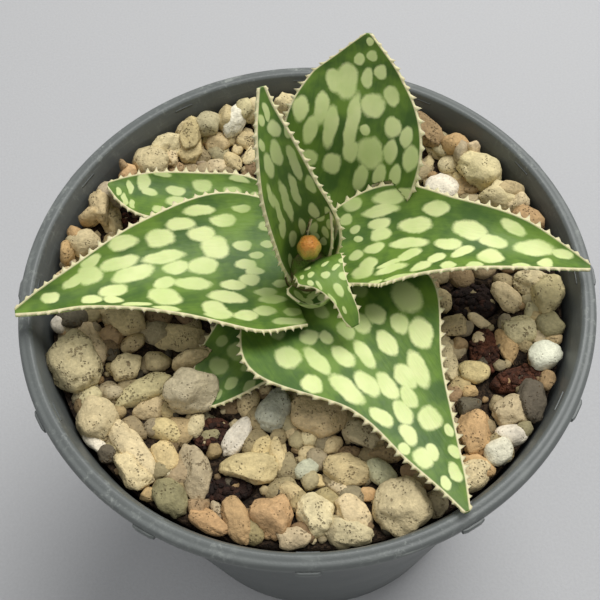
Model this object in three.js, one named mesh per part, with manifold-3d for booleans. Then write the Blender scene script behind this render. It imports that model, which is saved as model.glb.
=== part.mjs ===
// Potted snowstorm aloe: a variegated dwarf aloe in a round nursery pot with a pumice top dressing.
// Millimetres. Origin at the middle of the pot's underside, +Z up, +Y away from the viewer, +X to the right.
import * as THREE from 'three';
import { mergeVertices } from 'three/addons/utils/BufferGeometryUtils.js';
import Module from 'manifold-3d';

const wasm = await Module();
wasm.setup();

// Clear gap that neighbouring pieces keep from each other.
const GAP = 0.3;

// Pot
const POT_HEIGHT = 93;
const BASE_RADIUS = 36.7;
const BASE_BEVEL = 1.5;
const FLOOR = 1.6;
const WALL = 1.1;
const WALL_TOP_RADIUS = 47.6;
const WALL_TOP_Z = 89.4;
const RIM_RADIUS = 50;
const RIM_TOP_RADIUS = 49.5;
const RIM_BOTTOM_Z = 90.6;
const RIM_INNER_RADIUS = 47.9;
const RIM_RIDGE = 0.35;
const RIM_BEVEL = 0.4;
const RIM_FLAT_Z = 92.8;
const RIM_FLAT_RADIUS = 48.8;
const DRAIN_SIDES = 16;
const LUG_STEPS = 2;
const POT_SIDES = 48;
const LUGS = 12;
const LUG_START_DEG = -3;
const LUG_WIDTH_DEG = 4.6;
const LUG_RADIUS = 50.5;
const LUG_TOP_Z = 91.7;
const LUG_BOTTOM_Z = 90.4;
const DRAINS = 6;
const DRAIN_RADIUS = 3.5;
const DRAIN_CIRCLE = 24;

// Soil
const SOIL_BEVEL = 2.5;
const SOIL_TOP_Z = 81.5;
const SOIL_SIDES = 40;
// Patches of bare soil: middle x, middle y, half length, half width, turn in degrees, height over the bed.
const SOIL_PATCHES = [
  [30, -2.5, 4.6, 3.6, 0, 1.2],
  [30.6, -12.5, 4.6, 2.6, 85, 0.6],
  [35.6, -18.8, 5.2, 2.4, 5, 0.9],
  [-17.2, -24.4, 3.6, 3.2, 0, 0.6],
  [-15.4, -34.4, 4.6, 2.2, 0, 0.6],
  [-33.2, 18.4, 3, 2.8, 0, 0.7],
];
const PATCH_SIDES = 12;
const PATCH_TAPER = 0.8;
const PATCH_ROOT = 1;

// Gravel
const BED_BOTTOM_Z = 82;
const BED_TOP_Z = 84.4;
const BED_EDGE_Z = 86.6;
const HEAP_START = 29;
// The stones' plan was read on this plane, from this place.
const READ_Z = 87;
const SEEN_FROM = [-1, -81, 227];
const LIFT_STEP = 0.5;
const TALLEST_Z = 91.6;
const WIDEST_REACH = 3.4;
const STONE_SINK = 0.2;
const STONE_HEIGHT = 0.82;
const STONE_ROUGHNESS = 0.1;
const STONE_SWELL = 1.02;
const BIG_STONE = 11;
const SMALL_STONE = 5.1;
const WALL_CLEARANCE = 0.5;
const WALL_REGION = 3;
const FILL_SPACING = 1.7;
const STEM_SPACING = 7;
const WALL_SPACING = 2;
// Small stones are four-sided blocks: radius above and below, and height, before they are stretched.
const BLOCK = [0.62, 1.1, 1.7];
const FILL_PITCH = 9;
const SMOOTHING = 0.05;
const SETTLING_STEP = 0.5;
const DEEPEST_SETTLING = 4;
const FILL_SEED = 4021;
const SHAPE_SEED = 77;

// Stones of the top dressing in plan: middle x, middle y, length, width, turn of the length in degrees.
// A sixth number raises a stone that lies over a leaf.
const STONES = [
  [-23.2, 43.8, 7.5, 3.9, 80], [-18.6, 44.4, 5.6, 5, 0], [-14, 45.4, 5.2, 4.2, 90],
  [-11.6, 42.4, 8.5, 3.8, 65], [-9.8, 46.6, 4.5, 3.6, 90], [-7.8, 44.6, 5, 4, 60],
  [-21.4, 39.8, 4.4, 3.2, 20], [-18.4, 40.5, 3.2, 2.6, 0], [-15.8, 40.3, 3.8, 3.4, 0],
  [-13.6, 41.6, 3.6, 2.4, -45], [-26.4, 38.2, 6.6, 5, 20], [-24.8, 34.6, 6.6, 3.2, 100],
  [-31.2, 35.2, 9, 6.2, -25], [-20.6, 35.3, 6.6, 5.2, 65], [-15.2, 36.2, 5.6, 4.8, 90],
  [-12.8, 37.2, 3.6, 3, 0], [-9.6, 36.8, 4.2, 3.6, 60], [-11.4, 34.3, 3.2, 2.2, 60],
  [-8.6, 32.8, 5.6, 3, 70], [-12.4, 31.4, 5, 3.2, -45], [-15.4, 30.4, 4.2, 3.2, 0],
  [-18.4, 31.6, 2.6, 2, -20], [-20.2, 30.2, 3, 2.2, 0], [-23.4, 30.4, 3.4, 2.6, 0],
  [-26.4, 31.2, 2.8, 2.6, 90], [-29.4, 30.2, 4.2, 2.6, 0], [-34.2, 31.2, 4.6, 3.8, -30],
  [-36, 33.6, 2.6, 1.6, -60], [-38.2, 26.4, 5.4, 4.6, -20], [-42.2, 24.8, 7, 4, -75],
  [-40.2, 20.8, 4.6, 3, 20], [-36.2, 20.4, 8.6, 4.2, -72], [-38, 22.4, 5, 3, 25],
  [-44, 16.4, 5, 3.4, -70], [-44.4, 12.4, 4.6, 2.4, 90], [-40.8, 14.3, 6.2, 5, 20],
  [-46.6, 7.6, 4.6, 2.4, 20], [-43.4, 10.2, 3, 2, 20], [-1.5, 46.5, 4.6, 4, 0],
  [24.3, 46.4, 7.6, 4.2, 85], [28.6, 39.6, 9.4, 4.8, -50], [26.4, 35.2, 4, 3, 60],
  [28.9, 32, 6.4, 3.8, 95], [33.8, 33.8, 5.2, 4.2, -20], [32.4, 29.8, 6, 3.2, 80],
  [27.2, 30, 4.2, 1.6, -55], [25.8, 27.4, 4.2, 2.2, 85], [29.6, 26.9, 4.8, 4, 30],
  [31, 23.8, 3.2, 2.2, 60], [33.7, 25, 3.4, 3, 60], [38.2, 27, 8.8, 6.6, -40], [36.4, 31.2, 3, 2.6, 0],
  [27.6, 21.4, 6.4, 5.4, -20], [33.6, 21.2, 4.8, 3.2, 15], [37, 22.6, 3, 2, -20],
  [42.4, 20.2, 5.4, 3.6, -20], [38.6, 18.2, 8.4, 5.6, -25], [42.2, 16.8, 4.4, 4, 0],
  [33.2, 18.4, 3, 2.2, -20], [44.8, 13.2, 6.4, 4.4, -45], [-45.2, -2.6, 3.6, 3.2, 90],
  [-41.8, -1.4, 5.6, 5, -30], [-44, -10.8, 14, 8.4, -70], [-38.6, -7.2, 9.8, 5.4, -68],
  [-38, -13.8, 3.4, 3, 0], [-37.2, -21.8, 7.8, 7, 90], [-37.6, -17.6, 4.6, 3.8, 90],
  [-32.8, -2.2, 9, 6.4, -15], [-34.6, -5.6, 4.4, 4, -40], [-34.6, -9.2, 3, 3, 0],
  [-23.2, -6, 11.6, 6.6, -8], [-30.8, -7.4, 4.6, 3.2, 35], [-31.6, -12, 5.8, 5.2, 30],
  [-26.4, -11.2, 4.6, 4.2, 0], [-20.4, -11.4, 7, 2.9, 22, 4], [-28.8, -16.8, 10.4, 4.6, 27],
  [-33.8, -16.8, 3.2, 3.6, 90], [-20.4, -17.4, 8.8, 6.8, -5, 3], [-27.6, -20.3, 5.8, 3.6, 12],
  [-25, -24, 6, 3.8, -20], [-19.8, -23.6, 4.4, 3, 75], [-30.4, -27.2, 13.2, 4.6, -56],
  [-31.4, -31.7, 7.4, 4.8, -45], [-24.9, -28.6, 5.6, 4, -60], [-24.2, -31.2, 3.2, 2.4, 0],
  [-20, -31.8, 10, 5.4, -82], [-24.3, -36.2, 7, 4.8, -60], [-19.4, -37.6, 3.6, 3, 0],
  [-18.4, -41.6, 7, 3.6, -30], [-13.7, -41.2, 8, 4.2, -66], [-16.4, -38.2, 3.2, 1.8, -70],
  [-8, -39.8, 8.2, 7.2, -60], [-4.6, -36.2, 4.2, 3, -30], [-4.6, -44.6, 5.4, 3.6, 0],
  [-38.2, -26.8, 5.4, 2.2, -45], [-35.2, -28.2, 3, 3, 0], [-27.8, -35.2, 2.6, 2.2, 0],
  [-11.3, -19.6, 5.8, 4.4, 75], [-6.4, -21.8, 8, 5.4, 50], [-8.2, -17.8, 3, 2.4, 0],
  [-12.9, -26.2, 7.6, 3.6, 55], [-11.2, -31.8, 9.4, 5, -5], [-6.4, -29.6, 8, 3.2, -80],
  [-9, -28.6, 5, 3.2, 60], [-17.4, -25.6, 3.2, 2, 10], [-16.8, -28.4, 2.6, 2.6, 0],
  [-3.8, -26.2, 3.2, 2.6, 0], [-1.2, -27.2, 3, 3.2, 80], [-3.2, -29, 2, 1.6, 0],
  [-1.6, -29.6, 3, 2.2, 20], [-1.8, -32.4, 4.6, 3, 30], [-0.6, -34.6, 3.6, 2.2, 0],
  [-1, -40.2, 9.8, 5.8, 85], [0.6, -23.4, 9.6, 7.4, -20], [2.6, -28.8, 3.8, 3, 30],
  [4.5, -33.1, 7.4, 5.6, -15], [7.7, -27.2, 6.6, 4.4, -35], [11, -30.8, 6, 3, -5],
  [10.1, -34.1, 5.8, 3.8, -50], [14.8, -34.2, 3.6, 3, 40], [3.4, -36, 5.2, 2.6, -40],
  [7.4, -37.4, 3.4, 2.2, 0], [4.9, -40.4, 6.6, 4.8, -50], [12.7, -40.3, 11.6, 9, 15],
  [4, -44.4, 7.8, 4, -15], [18.8, -41.2, 4.4, 3.6, 45], [25.9, -28.6, 8, 6.2, 70],
  [25.6, -34, 5.8, 3.6, -30], [26, -37.8, 7.2, 4.8, 20], [30.9, -33.6, 4.8, 4.2, 20],
  [32, -29.3, 5.4, 3.8, 0], [33, -25, 6.8, 5, 20], [38.2, -24.5, 7.4, 4.8, 70], [36, -29.4, 3, 2.6, 60],
  [25.8, -23.4, 4.4, 3.6, 30], [23.6, -21.3, 3.8, 3, 80], [23.7, -14.6, 8.8, 3.4, 88],
  [26.4, -20.9, 2.8, 2.4, 0], [27.7, -17.6, 5.2, 4, -5], [25.3, -8.4, 5.2, 4.4, 10],
  [26, -12, 2.4, 3, 90], [24.4, -3.2, 4.8, 3, 85], [30, -7.7, 4.6, 2.2, -42],
  [29.5, -11.1, 2.6, 2.2, 60], [34.1, -12.8, 6.8, 3.2, -75], [36.8, -10, 5.8, 5.4, 0],
  [35.6, -3.2, 6.6, 4, -60], [39.9, -6.6, 3.8, 3.2, 80], [40.6, -11.2, 4.4, 3, 60],
  [44.4, -10, 5, 4.4, 20], [45, -3.8, 7.4, 5.8, 60], [40.8, -0.8, 9.2, 5, -5], [42, -15.8, 5.8, 5, 20],
  [38.4, -15.9, 3.6, 2.6, 90], [41.4, -20.8, 3.8, 2.6, 60],
];

// Stem and root stock: radius and z from the root tip to the crown.
const STEM_PROFILE = [[1.6, 52], [2.6, 60], [3.6, 70], [4.2, 80], [4.4, 88], [3.9, 93], [2.6, 95.6]];
const STEM_X = 1;
const STEM_Y = 2;
const STEM_SIDES = 12;

// Leaves
const TOOTH_PITCH = 3.5;
const TOOTH_HEIGHT = 0.95;
const EDGE_THICKNESS = 0.7;
const TIP_THICKNESS = 0.9;
// The tooth rises at TOOTH_ROOT, peaks at TOOTH_PEAK and ends at the next pitch.
const TOOTH_ROOT = 0.35;
const TOOTH_PEAK = 0.78;
// Places across the upper face, from the left margin to the right one.
const ACROSS = [-1, -0.5, 0, 0.5, 1];
const ENVELOPE_STEPS = 16;

// Each leaf: heading in degrees, midrib points from base to tip, half widths [place, left, right],
// channel angle [place, degrees] and thickness at the midrib near the base.
const LEAVES = {
  leaf_young_inner: {
    heading: 60,
    midrib: [[3, 3, 96.4], [3.4, 3.8, 99.8], [3.8, 4.9, 104.3], [4.3, 6.1, 108.2]],
    half: [[0, 2.2, 2.2], [0.33, 2.4, 2.4], [0.66, 1.7, 1.7], [1, 0.5, 0.5]],
    channel: [[0, 55], [1, 30]],
    thickness: 1.2,
    tooth: 0.4,
  },
  leaf_young_front: {
    heading: -62,
    midrib: [[0.8, 0.1, 97.2], [2.5, -1.9, 99.8], [4.4, -5, 100.2], [6.3, -8.6, 98.8], [7.8, -11.8, 96]],
    half: [
      [0, 3.6, 3.4], [0.17, 5, 4.3], [0.32, 4.2, 4.8], [0.48, 2.8, 3.2], [0.7, 1.8, 1.8], [0.9, 1.5, 1.5],
      [1, 0.8, 0.8],
    ],
    channel: [[0, -14], [1, -12]],
    thickness: 1.8,
    tooth: 0.8,
  },
  leaf_sheath_front: {
    heading: -80,
    midrib: [[1, -1.5, 91.5], [1.3, -3.8, 93], [1.8, -6, 94.2]],
    half: [[0, 3.6, 3.6], [0.5, 4.6, 4.6], [1, 3.2, 3.2]],
    channel: [[0, 50], [1, 50]],
    thickness: 1.3,
    tooth: 0.3,
  },
  leaf_upright: {
    heading: 110,
    midrib: [[0.5, 3.5, 92], [0, 4.4, 103], [-1.5, 6, 112], [-3, 9, 120], [-4.5, 13.8, 126]],
    half: [[0, 5, 5], [0.2, 6.9, 6.8], [0.5, 6.1, 4.4], [0.75, 3.7, 2.3], [0.9, 1.8, 1], [1, 0.5, 0.5]],
    channel: [[0, 75], [1, 30]],
    thickness: 2.4,
    tooth: 0.8,
  },
  leaf_right: {
    heading: -8,
    midrib: [[4, 5, 91], [15, 5.5, 95], [25, 2.5, 99], [36, -1, 99.5], [48.3, -3.6, 96]],
    half: [[0, 7, 8], [0.25, 10, 12.8], [0.5, 7, 9.5], [0.75, 5.2, 5.5], [0.9, 2.6, 2.6], [1, 0.5, 0.5]],
    channel: [[0, 40], [1, 45]],
    thickness: 3.2,
    tooth: 0.9,
  },
  leaf_left: {
    heading: 188,
    midrib: [[-3, 5, 90], [-13, 3.5, 93], [-25, 0.5, 96], [-37, -3, 97], [-48.7, -5.2, 97]],
    half: [[0, 15, 12.5], [0.25, 16.5, 14], [0.5, 10, 10.5], [0.75, 3, 6], [0.9, 1.8, 3], [1, 0.5, 0.5]],
    channel: [[0, 25], [0.5, 40], [1, 55]],
    thickness: 3.2,
    tooth: 0.9,
  },
  leaf_back_right: {
    heading: 64,
    midrib: [[3, 9.4, 87], [8.2, 16.6, 93.4], [11.3, 22, 105], [13, 27.5, 112], [13.4, 31.5, 118]],
    half: [
      [0, 4, 8], [0.18, 7, 11], [0.33, 12, 12.3], [0.5, 13, 12.2], [0.75, 9.5, 6.8], [0.9, 4.5, 3],
      [1, 0.5, 0.5],
    ],
    channel: [[0, 35], [1, 15]],
    thickness: 3,
    tooth: 1,
  },
  leaf_front_right: {
    heading: -65,
    midrib: [[3, 1, 88.6], [8, -10, 91.2], [13.5, -22, 92.5], [18.3, -33.2, 93.2], [21.6, -43.3, 94.7]],
    half: [[0, 14, 16], [0.25, 16, 19.5], [0.5, 8.8, 8.5], [0.75, 4, 4.6], [0.9, 2, 2], [1, 0.5, 0.5]],
    channel: [[0, 20], [1, 10]],
    thickness: 2.8,
    tooth: 1,
  },
  leaf_back_left: {
    heading: 168,
    midrib: [[-3, 13, 88.5], [-10, 18.6, 90], [-18.5, 20.5, 91], [-27.5, 22, 92], [-35.3, 23.3, 93]],
    half: [[0, 5, 4.5], [0.25, 8, 5.5], [0.5, 8, 4.8], [0.75, 7.5, 3.6], [0.9, 4.5, 2], [1, 0.5, 0.5]],
    channel: [[0, 35], [1, 35]],
    thickness: 2.4,
    tooth: 1,
  },
  leaf_front_left: {
    heading: 225,
    midrib: [[-3, -3, 87.2], [-8, -9.5, 87.4], [-13, -14, 87], [-17, -17.5, 86.6], [-20, -20, 86.3]],
    half: [[0, 6, 8], [0.25, 6.5, 9], [0.5, 5, 7.5], [0.75, 3, 5], [0.9, 1.6, 2.5], [1, 0.5, 0.5]],
    channel: [[0, 20], [1, 12]],
    thickness: 1.7,
    tooth: 0.8,
  },
};

// Bud
const BUD_MIDDLE = [1.1, 1.3, 100.4];
const BUD_RADIUS = 2;
const BUD_HALF_LENGTH = 2.9;
const BUD_TILT_DEG = 12;
const BUD_SIDES = 10;

const deg = THREE.MathUtils.degToRad;

function solid(geometry) {
  const bare = new THREE.BufferGeometry();
  bare.setAttribute('position', geometry.getAttribute('position').clone());
  if (geometry.index) bare.setIndex(geometry.index.clone());
  const merged = mergeVertices(bare, 1e-4);
  return new wasm.Manifold(new wasm.Mesh({
    numProp: 3,
    vertProperties: new Float32Array(merged.getAttribute('position').array),
    triVerts: new Uint32Array(merged.index.array),
  }));
}

function meshOf(manifold, name, material) {
  const data = manifold.getMesh();
  const geometry = new THREE.BufferGeometry();
  geometry.setAttribute('position', new THREE.BufferAttribute(new Float32Array(data.vertProperties), 3));
  geometry.setIndex(new THREE.BufferAttribute(new Uint32Array(data.triVerts), 1));
  geometry.computeVertexNormals();
  const mesh = new THREE.Mesh(geometry, material);
  mesh.name = name;
  return mesh;
}

function largestBody(manifold) {
  const bodies = manifold.decompose();
  return bodies.reduce((a, b) => (b.volume() > a.volume() ? b : a));
}

// The same even draw everywhere: a whole number is multiplied and wrapped at each step.
function makeDraw(seed) {
  let state = seed;
  return () => {
    state = (state * 16807) % 2147483647;
    return state / 2147483647;
  };
}

// Smooth curve through rows [place, a, b...], read at one place for one column.
function readRows(rows, place, column) {
  const last = rows.length - 1;
  const t = THREE.MathUtils.clamp(place, rows[0][0], rows[last][0]);
  let i = 0;
  while (i < last - 1 && t >= rows[i + 1][0]) i += 1;
  const slope = (k) => {
    const a = Math.max(k - 1, 0);
    const b = Math.min(k + 1, last);
    return (rows[b][column] - rows[a][column]) / (rows[b][0] - rows[a][0]);
  };
  const span = rows[i + 1][0] - rows[i][0];
  const f = (t - rows[i][0]) / span;
  return rows[i][column] * (2 * f ** 3 - 3 * f ** 2 + 1)
    + slope(i) * span * (f ** 3 - 2 * f ** 2 + f)
    + rows[i + 1][column] * (3 * f ** 2 - 2 * f ** 3)
    + slope(i + 1) * span * (f ** 3 - f ** 2);
}

// Pot

function wallRadius(z) {
  return THREE.MathUtils.mapLinear(z, 0, WALL_TOP_Z, BASE_RADIUS, WALL_TOP_RADIUS);
}

function innerRadius(z) {
  return wallRadius(z) - WALL;
}

function lathe(points, sides) {
  const profile = points.map(([r, z]) => new THREE.Vector2(r, z));
  const geometry = new THREE.LatheGeometry(profile, sides);
  geometry.rotateX(Math.PI / 2);
  return solid(geometry);
}

function sector(inner, outer, bottom, top, startDeg, widthDeg) {
  const shape = new THREE.Shape();
  for (let i = 0; i <= LUG_STEPS; i += 1) {
    const a = deg(startDeg + (widthDeg * i) / LUG_STEPS);
    const point = [outer * Math.cos(a), outer * Math.sin(a)];
    if (i === 0) shape.moveTo(...point);
    else shape.lineTo(...point);
  }
  for (let i = LUG_STEPS; i >= 0; i -= 1) {
    const a = deg(startDeg + (widthDeg * i) / LUG_STEPS);
    shape.lineTo(inner * Math.cos(a), inner * Math.sin(a));
  }
  const geometry = new THREE.ExtrudeGeometry(shape, { depth: top - bottom, bevelEnabled: false });
  geometry.translate(0, 0, bottom);
  return solid(geometry);
}

function makePot() {
  let pot = lathe([
    [0, 0],
    [BASE_RADIUS - BASE_BEVEL, 0],
    [wallRadius(BASE_BEVEL), BASE_BEVEL],
    [WALL_TOP_RADIUS, WALL_TOP_Z],
    [RIM_RADIUS - RIM_BEVEL, RIM_BOTTOM_Z],
    [RIM_RADIUS, RIM_BOTTOM_Z + RIM_BEVEL],
    [RIM_RADIUS, RIM_FLAT_Z - 2 * RIM_BEVEL],
    [RIM_TOP_RADIUS, RIM_FLAT_Z],
    [RIM_FLAT_RADIUS, RIM_FLAT_Z],
    [RIM_FLAT_RADIUS - RIM_BEVEL, RIM_FLAT_Z + RIM_RIDGE / 2],
    [RIM_INNER_RADIUS, POT_HEIGHT],
    [RIM_INNER_RADIUS - RIM_BEVEL, POT_HEIGHT - RIM_RIDGE],
    [innerRadius(WALL_TOP_Z), WALL_TOP_Z],
    [innerRadius(FLOOR + BASE_BEVEL), FLOOR + BASE_BEVEL],
    [innerRadius(FLOOR) - BASE_BEVEL, FLOOR],
    [0, FLOOR],
  ], POT_SIDES);
  for (let i = 0; i < LUGS; i += 1) {
    const start = LUG_START_DEG + (360 * i) / LUGS - LUG_WIDTH_DEG / 2;
    const inner = WALL_TOP_RADIUS - WALL / 2;
    pot = pot.add(sector(inner, LUG_RADIUS, LUG_BOTTOM_Z, LUG_TOP_Z, start, LUG_WIDTH_DEG));
  }
  for (let i = 0; i < DRAINS; i += 1) {
    const a = (2 * Math.PI * i) / DRAINS;
    const hole = new THREE.CylinderGeometry(DRAIN_RADIUS, DRAIN_RADIUS, 4 * FLOOR, DRAIN_SIDES);
    hole.rotateX(Math.PI / 2);
    hole.translate(DRAIN_CIRCLE * Math.cos(a), DRAIN_CIRCLE * Math.sin(a), 0);
    pot = pot.subtract(solid(hole));
  }
  return pot;
}

// Soil

function patchDome([x, y, halfLength, halfWidth, turn, rise], grow) {
  const height = bedTop(Math.hypot(x, y)) + rise - SOIL_TOP_Z + PATCH_ROOT;
  const dome = new THREE.CylinderGeometry(PATCH_TAPER, 1, height + grow, PATCH_SIDES);
  dome.rotateX(Math.PI / 2);
  dome.scale(halfLength + grow, halfWidth + grow, 1);
  dome.rotateZ(deg(turn));
  dome.translate(x, y, SOIL_TOP_Z - PATCH_ROOT + (height + grow) / 2);
  return solid(dome);
}

function patches(grow) {
  return wasm.Manifold.union(SOIL_PATCHES.map((patch) => patchDome(patch, grow)));
}

function makeSoil() {
  const bottom = FLOOR + GAP;
  const body = lathe([
    [0, bottom],
    [innerRadius(bottom) - SOIL_BEVEL - GAP, bottom],
    [innerRadius(bottom + SOIL_BEVEL) - GAP, bottom + SOIL_BEVEL],
    [innerRadius(SOIL_TOP_Z) - GAP, SOIL_TOP_Z],
    [0, SOIL_TOP_Z],
  ], SOIL_SIDES);
  return body.add(patches(0)).subtract(makeStem(GAP));
}

// Gravel

// The bed is flat in the middle and heaped up towards the wall.
function bedTop(distance) {
  const edge = innerRadius(BED_BOTTOM_Z) - GAP;
  return THREE.MathUtils.mapLinear(Math.max(distance, HEAP_START), HEAP_START, edge, BED_TOP_Z, BED_EDGE_Z);
}

// A stone of the list lies on the line of sight on which it was read, at the height of the bed there.
function alongSight(x, y, z) {
  const [sx, sy, sz] = SEEN_FROM;
  const share = (z - READ_Z) / (sz - READ_Z);
  return [x + (sx - x) * share, y + (sy - y) * share];
}

// Where a stone rests. One that would reach into the wall stands taller against it, and nearer the middle.
function restingPlace([x, y, length, width, turn, rise = 0]) {
  const low = width * STONE_HEIGHT;
  const floor = bedTop(Math.hypot(x, y));
  for (let lift = rise; ; lift += LIFT_STEP) {
    const height = low + lift;
    const z = floor + STONE_SINK * low + lift / 2;
    const [px, py] = alongSight(x, y, z);
    const distance = Math.hypot(px, py);
    const lean = Math.atan2(py, px) - deg(turn);
    const reach = Math.hypot((length / 2) * Math.cos(lean), (width / 2) * Math.sin(lean));
    const limit = innerRadius(z - height / 3) - WALL_CLEARANCE - Math.min(reach, WIDEST_REACH);
    const squeeze = Math.min(1, WIDEST_REACH / reach);
    const tall = z + height / 2 + LIFT_STEP > TALLEST_Z;
    if (distance <= limit || tall || py < 0) {
      const pull = Math.min(1, limit / distance);
      const fitted = length * (distance > limit - WALL_REGION ? squeeze : 1);
      return { x: px * pull, y: py * pull, z, length: fitted, width, height, turn };
    }
  }
}

function insidePatch(x, y, margin) {
  return SOIL_PATCHES.some(([px, py, a, b, turn]) => {
    const c = Math.cos(deg(turn));
    const s = Math.sin(deg(turn));
    const u = (x - px) * c + (y - py) * s;
    const v = (y - py) * c - (x - px) * s;
    return (u / (a + margin)) ** 2 + (v / (b + margin)) ** 2 < 1;
  });
}

// Stones that go on where the leaves hide the dressing, on a shaken lattice.
function fillStones() {
  const draw = makeDraw(FILL_SEED);
  const found = [];
  const reach = Math.ceil(innerRadius(BED_TOP_Z) / FILL_PITCH);
  for (let row = -reach; row <= reach; row += 1) {
    for (let column = -reach; column <= reach; column += 1) {
      const x = (column + (row % 2 ? 0.5 : 0) + 0.5 * (draw() - 0.5)) * FILL_PITCH;
      const y = (row * 0.87 + 0.4 * (draw() - 0.5)) * FILL_PITCH;
      const length = 4.8 + 3.4 * draw();
      const width = length * (0.66 + 0.25 * draw());
      const turn = 180 * draw();
      const crowded = STONES.some((s) => Math.hypot(x - s[0], y - s[1]) < (s[2] + s[3]) / 4 + FILL_SPACING);
      const nearStem = Math.hypot(x - STEM_X, y - STEM_Y) < STEM_SPACING;
      const outside = Math.hypot(x, y) > innerRadius(BED_TOP_Z) - WALL_SPACING;
      if (!crowded && !nearStem && !outside && !insidePatch(x, y, 1)) found.push([x, y, length, width, turn]);
    }
  }
  return found;
}

// A stone before it is shaped: rounder the larger it is, and a block with a narrowed top for grit.
function stoneBlank(length) {
  let blank;
  if (length > SMALL_STONE) {
    blank = new THREE.IcosahedronGeometry(1, length > BIG_STONE ? 1 : 0);
  } else {
    blank = new THREE.CylinderGeometry(...BLOCK, 4, 1);
    blank.rotateX(Math.PI / 2);
  }
  blank.deleteAttribute('normal');
  blank.deleteAttribute('uv');
  return mergeVertices(blank);
}

function makeStone(place, draw) {
  const { x, y, z, length, width, height, turn } = restingPlace(place);
  const geometry = stoneBlank(length);
  const position = geometry.getAttribute('position');
  for (let i = 0; i < position.count; i += 1) {
    const swell = STONE_SWELL + STONE_ROUGHNESS * (draw() - 0.5) * 2;
    position.setXYZ(i, position.getX(i) * swell, position.getY(i) * swell, position.getZ(i) * swell);
  }
  geometry.rotateZ(2 * Math.PI * draw());
  geometry.scale(length / 2, width / 2, height / 2);
  geometry.rotateZ(deg(turn));
  geometry.translate(x, y, z);
  return solid(geometry);
}

// A stone under a leaf lies as much deeper as the leaf asks for, and one over a leaf is hollowed for it.
function settle(stone, overLeaf, leaves) {
  if (overLeaf) return stone.trimByPlane([0, 0, 1], BED_BOTTOM_Z).subtract(leaves);
  for (let drop = 0; drop <= DEEPEST_SETTLING; drop += SETTLING_STEP) {
    const lower = stone.translate([0, 0, -drop]).trimByPlane([0, 0, 1], BED_BOTTOM_Z);
    const clear = lower.intersect(leaves).isEmpty();
    const proud = lower.boundingBox().max[2] > BED_TOP_Z + 2 * SETTLING_STEP;
    if (clear) return proud ? lower : null;
  }
  return null;
}

function makeGravel(leafEnvelopes) {
  const draw = makeDraw(SHAPE_SEED);
  const bedRadius = innerRadius(BED_BOTTOM_Z) - GAP;
  const bed = lathe([
    [0, BED_BOTTOM_Z],
    [bedRadius, BED_BOTTOM_Z],
    [bedRadius, BED_EDGE_Z],
    [HEAP_START, BED_TOP_Z],
    [0, BED_TOP_Z],
  ], POT_SIDES);
  const leaves = wasm.Manifold.union(leafEnvelopes);
  const stones = [...STONES, ...fillStones()]
    .map((place) => settle(makeStone(place, draw), place[5] > 0, leaves))
    .filter((stone) => stone !== null);
  const away = wasm.Manifold.union([patches(GAP), makeStem(GAP)]);
  return largestBody(wasm.Manifold.union([bed, ...stones]).subtract(away).asOriginal().simplify(SMOOTHING));
}

// Stem

function makeStem(grow) {
  const first = STEM_PROFILE[0];
  const last = STEM_PROFILE[STEM_PROFILE.length - 1];
  const points = [[0, first[1] - grow], ...STEM_PROFILE.map(([r, z]) => [r + grow, z]), [0, last[1] + grow]];
  points[1][1] -= grow;
  points[points.length - 2][1] += grow;
  return lathe(points, STEM_SIDES).translate([STEM_X, STEM_Y, 0]);
}

// Leaves

function leafFrame(leaf, t) {
  const points = leaf.midrib.map((p) => new THREE.Vector3(...p));
  const curve = new THREE.CatmullRomCurve3(points, false, 'catmullrom', 0.5);
  const centre = curve.getPoint(t);
  const along = curve.getTangent(t).normalize();
  const heading = deg(leaf.heading);
  const side = new THREE.Vector3(Math.sin(heading), -Math.cos(heading), 0);
  side.addScaledVector(along, -side.dot(along)).normalize();
  const up = new THREE.Vector3().crossVectors(side, along);
  return { centre, along, side, up };
}

// One cross-section: five points over the upper face and three under it.
function leafSection(leaf, t, tooth, grow, shift) {
  const { centre, along, side, up } = leafFrame(leaf, t);
  centre.addScaledVector(along, shift);
  const angle = deg(readRows(leaf.channel, t, 1));
  const rib = THREE.MathUtils.lerp(leaf.thickness, TIP_THICKNESS, t ** 1.4);
  const place = (across, depth) => {
    const half = readRows(leaf.half, t, across < 0 ? 1 : 2) + tooth + grow;
    const turn = angle * across;
    const radius = half / angle;
    return centre.clone()
      .addScaledVector(side, radius * Math.sin(turn) + depth * Math.sin(turn))
      .addScaledVector(up, radius * (1 - Math.cos(turn)) - depth * Math.cos(turn));
  };
  const over = ACROSS.map((across) => place(across, -grow));
  const edge = EDGE_THICKNESS + grow;
  return [...over, place(1, edge), place(0, rib + grow), place(-1, edge)];
}

function skin(sections) {
  const ring = sections[0].length;
  const vertices = sections.flat().flatMap((p) => p.toArray());
  const index = [];
  for (let i = 0; i < sections.length - 1; i += 1) {
    for (let k = 0; k < ring; k += 1) {
      const a = i * ring + k;
      const b = i * ring + ((k + 1) % ring);
      index.push(a, b, a + ring, b, b + ring, a + ring);
    }
  }
  const end = (sections.length - 1) * ring;
  // The flat ends are split from the rib below to each point of the section.
  const fan = ring - 2;
  for (let k = 0; k < ring; k += 1) {
    const next = (k + 1) % ring;
    if (k === fan || next === fan) continue;
    index.push(fan, next, k);
    index.push(end + fan, end + k, end + next);
  }
  const geometry = new THREE.BufferGeometry();
  geometry.setAttribute('position', new THREE.Float32BufferAttribute(vertices, 3));
  geometry.setIndex(index);
  return solid(geometry);
}

function midribLength(leaf) {
  const points = leaf.midrib.map((p) => new THREE.Vector3(...p));
  return new THREE.CatmullRomCurve3(points, false, 'catmullrom', 0.5).getLength();
}

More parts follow.
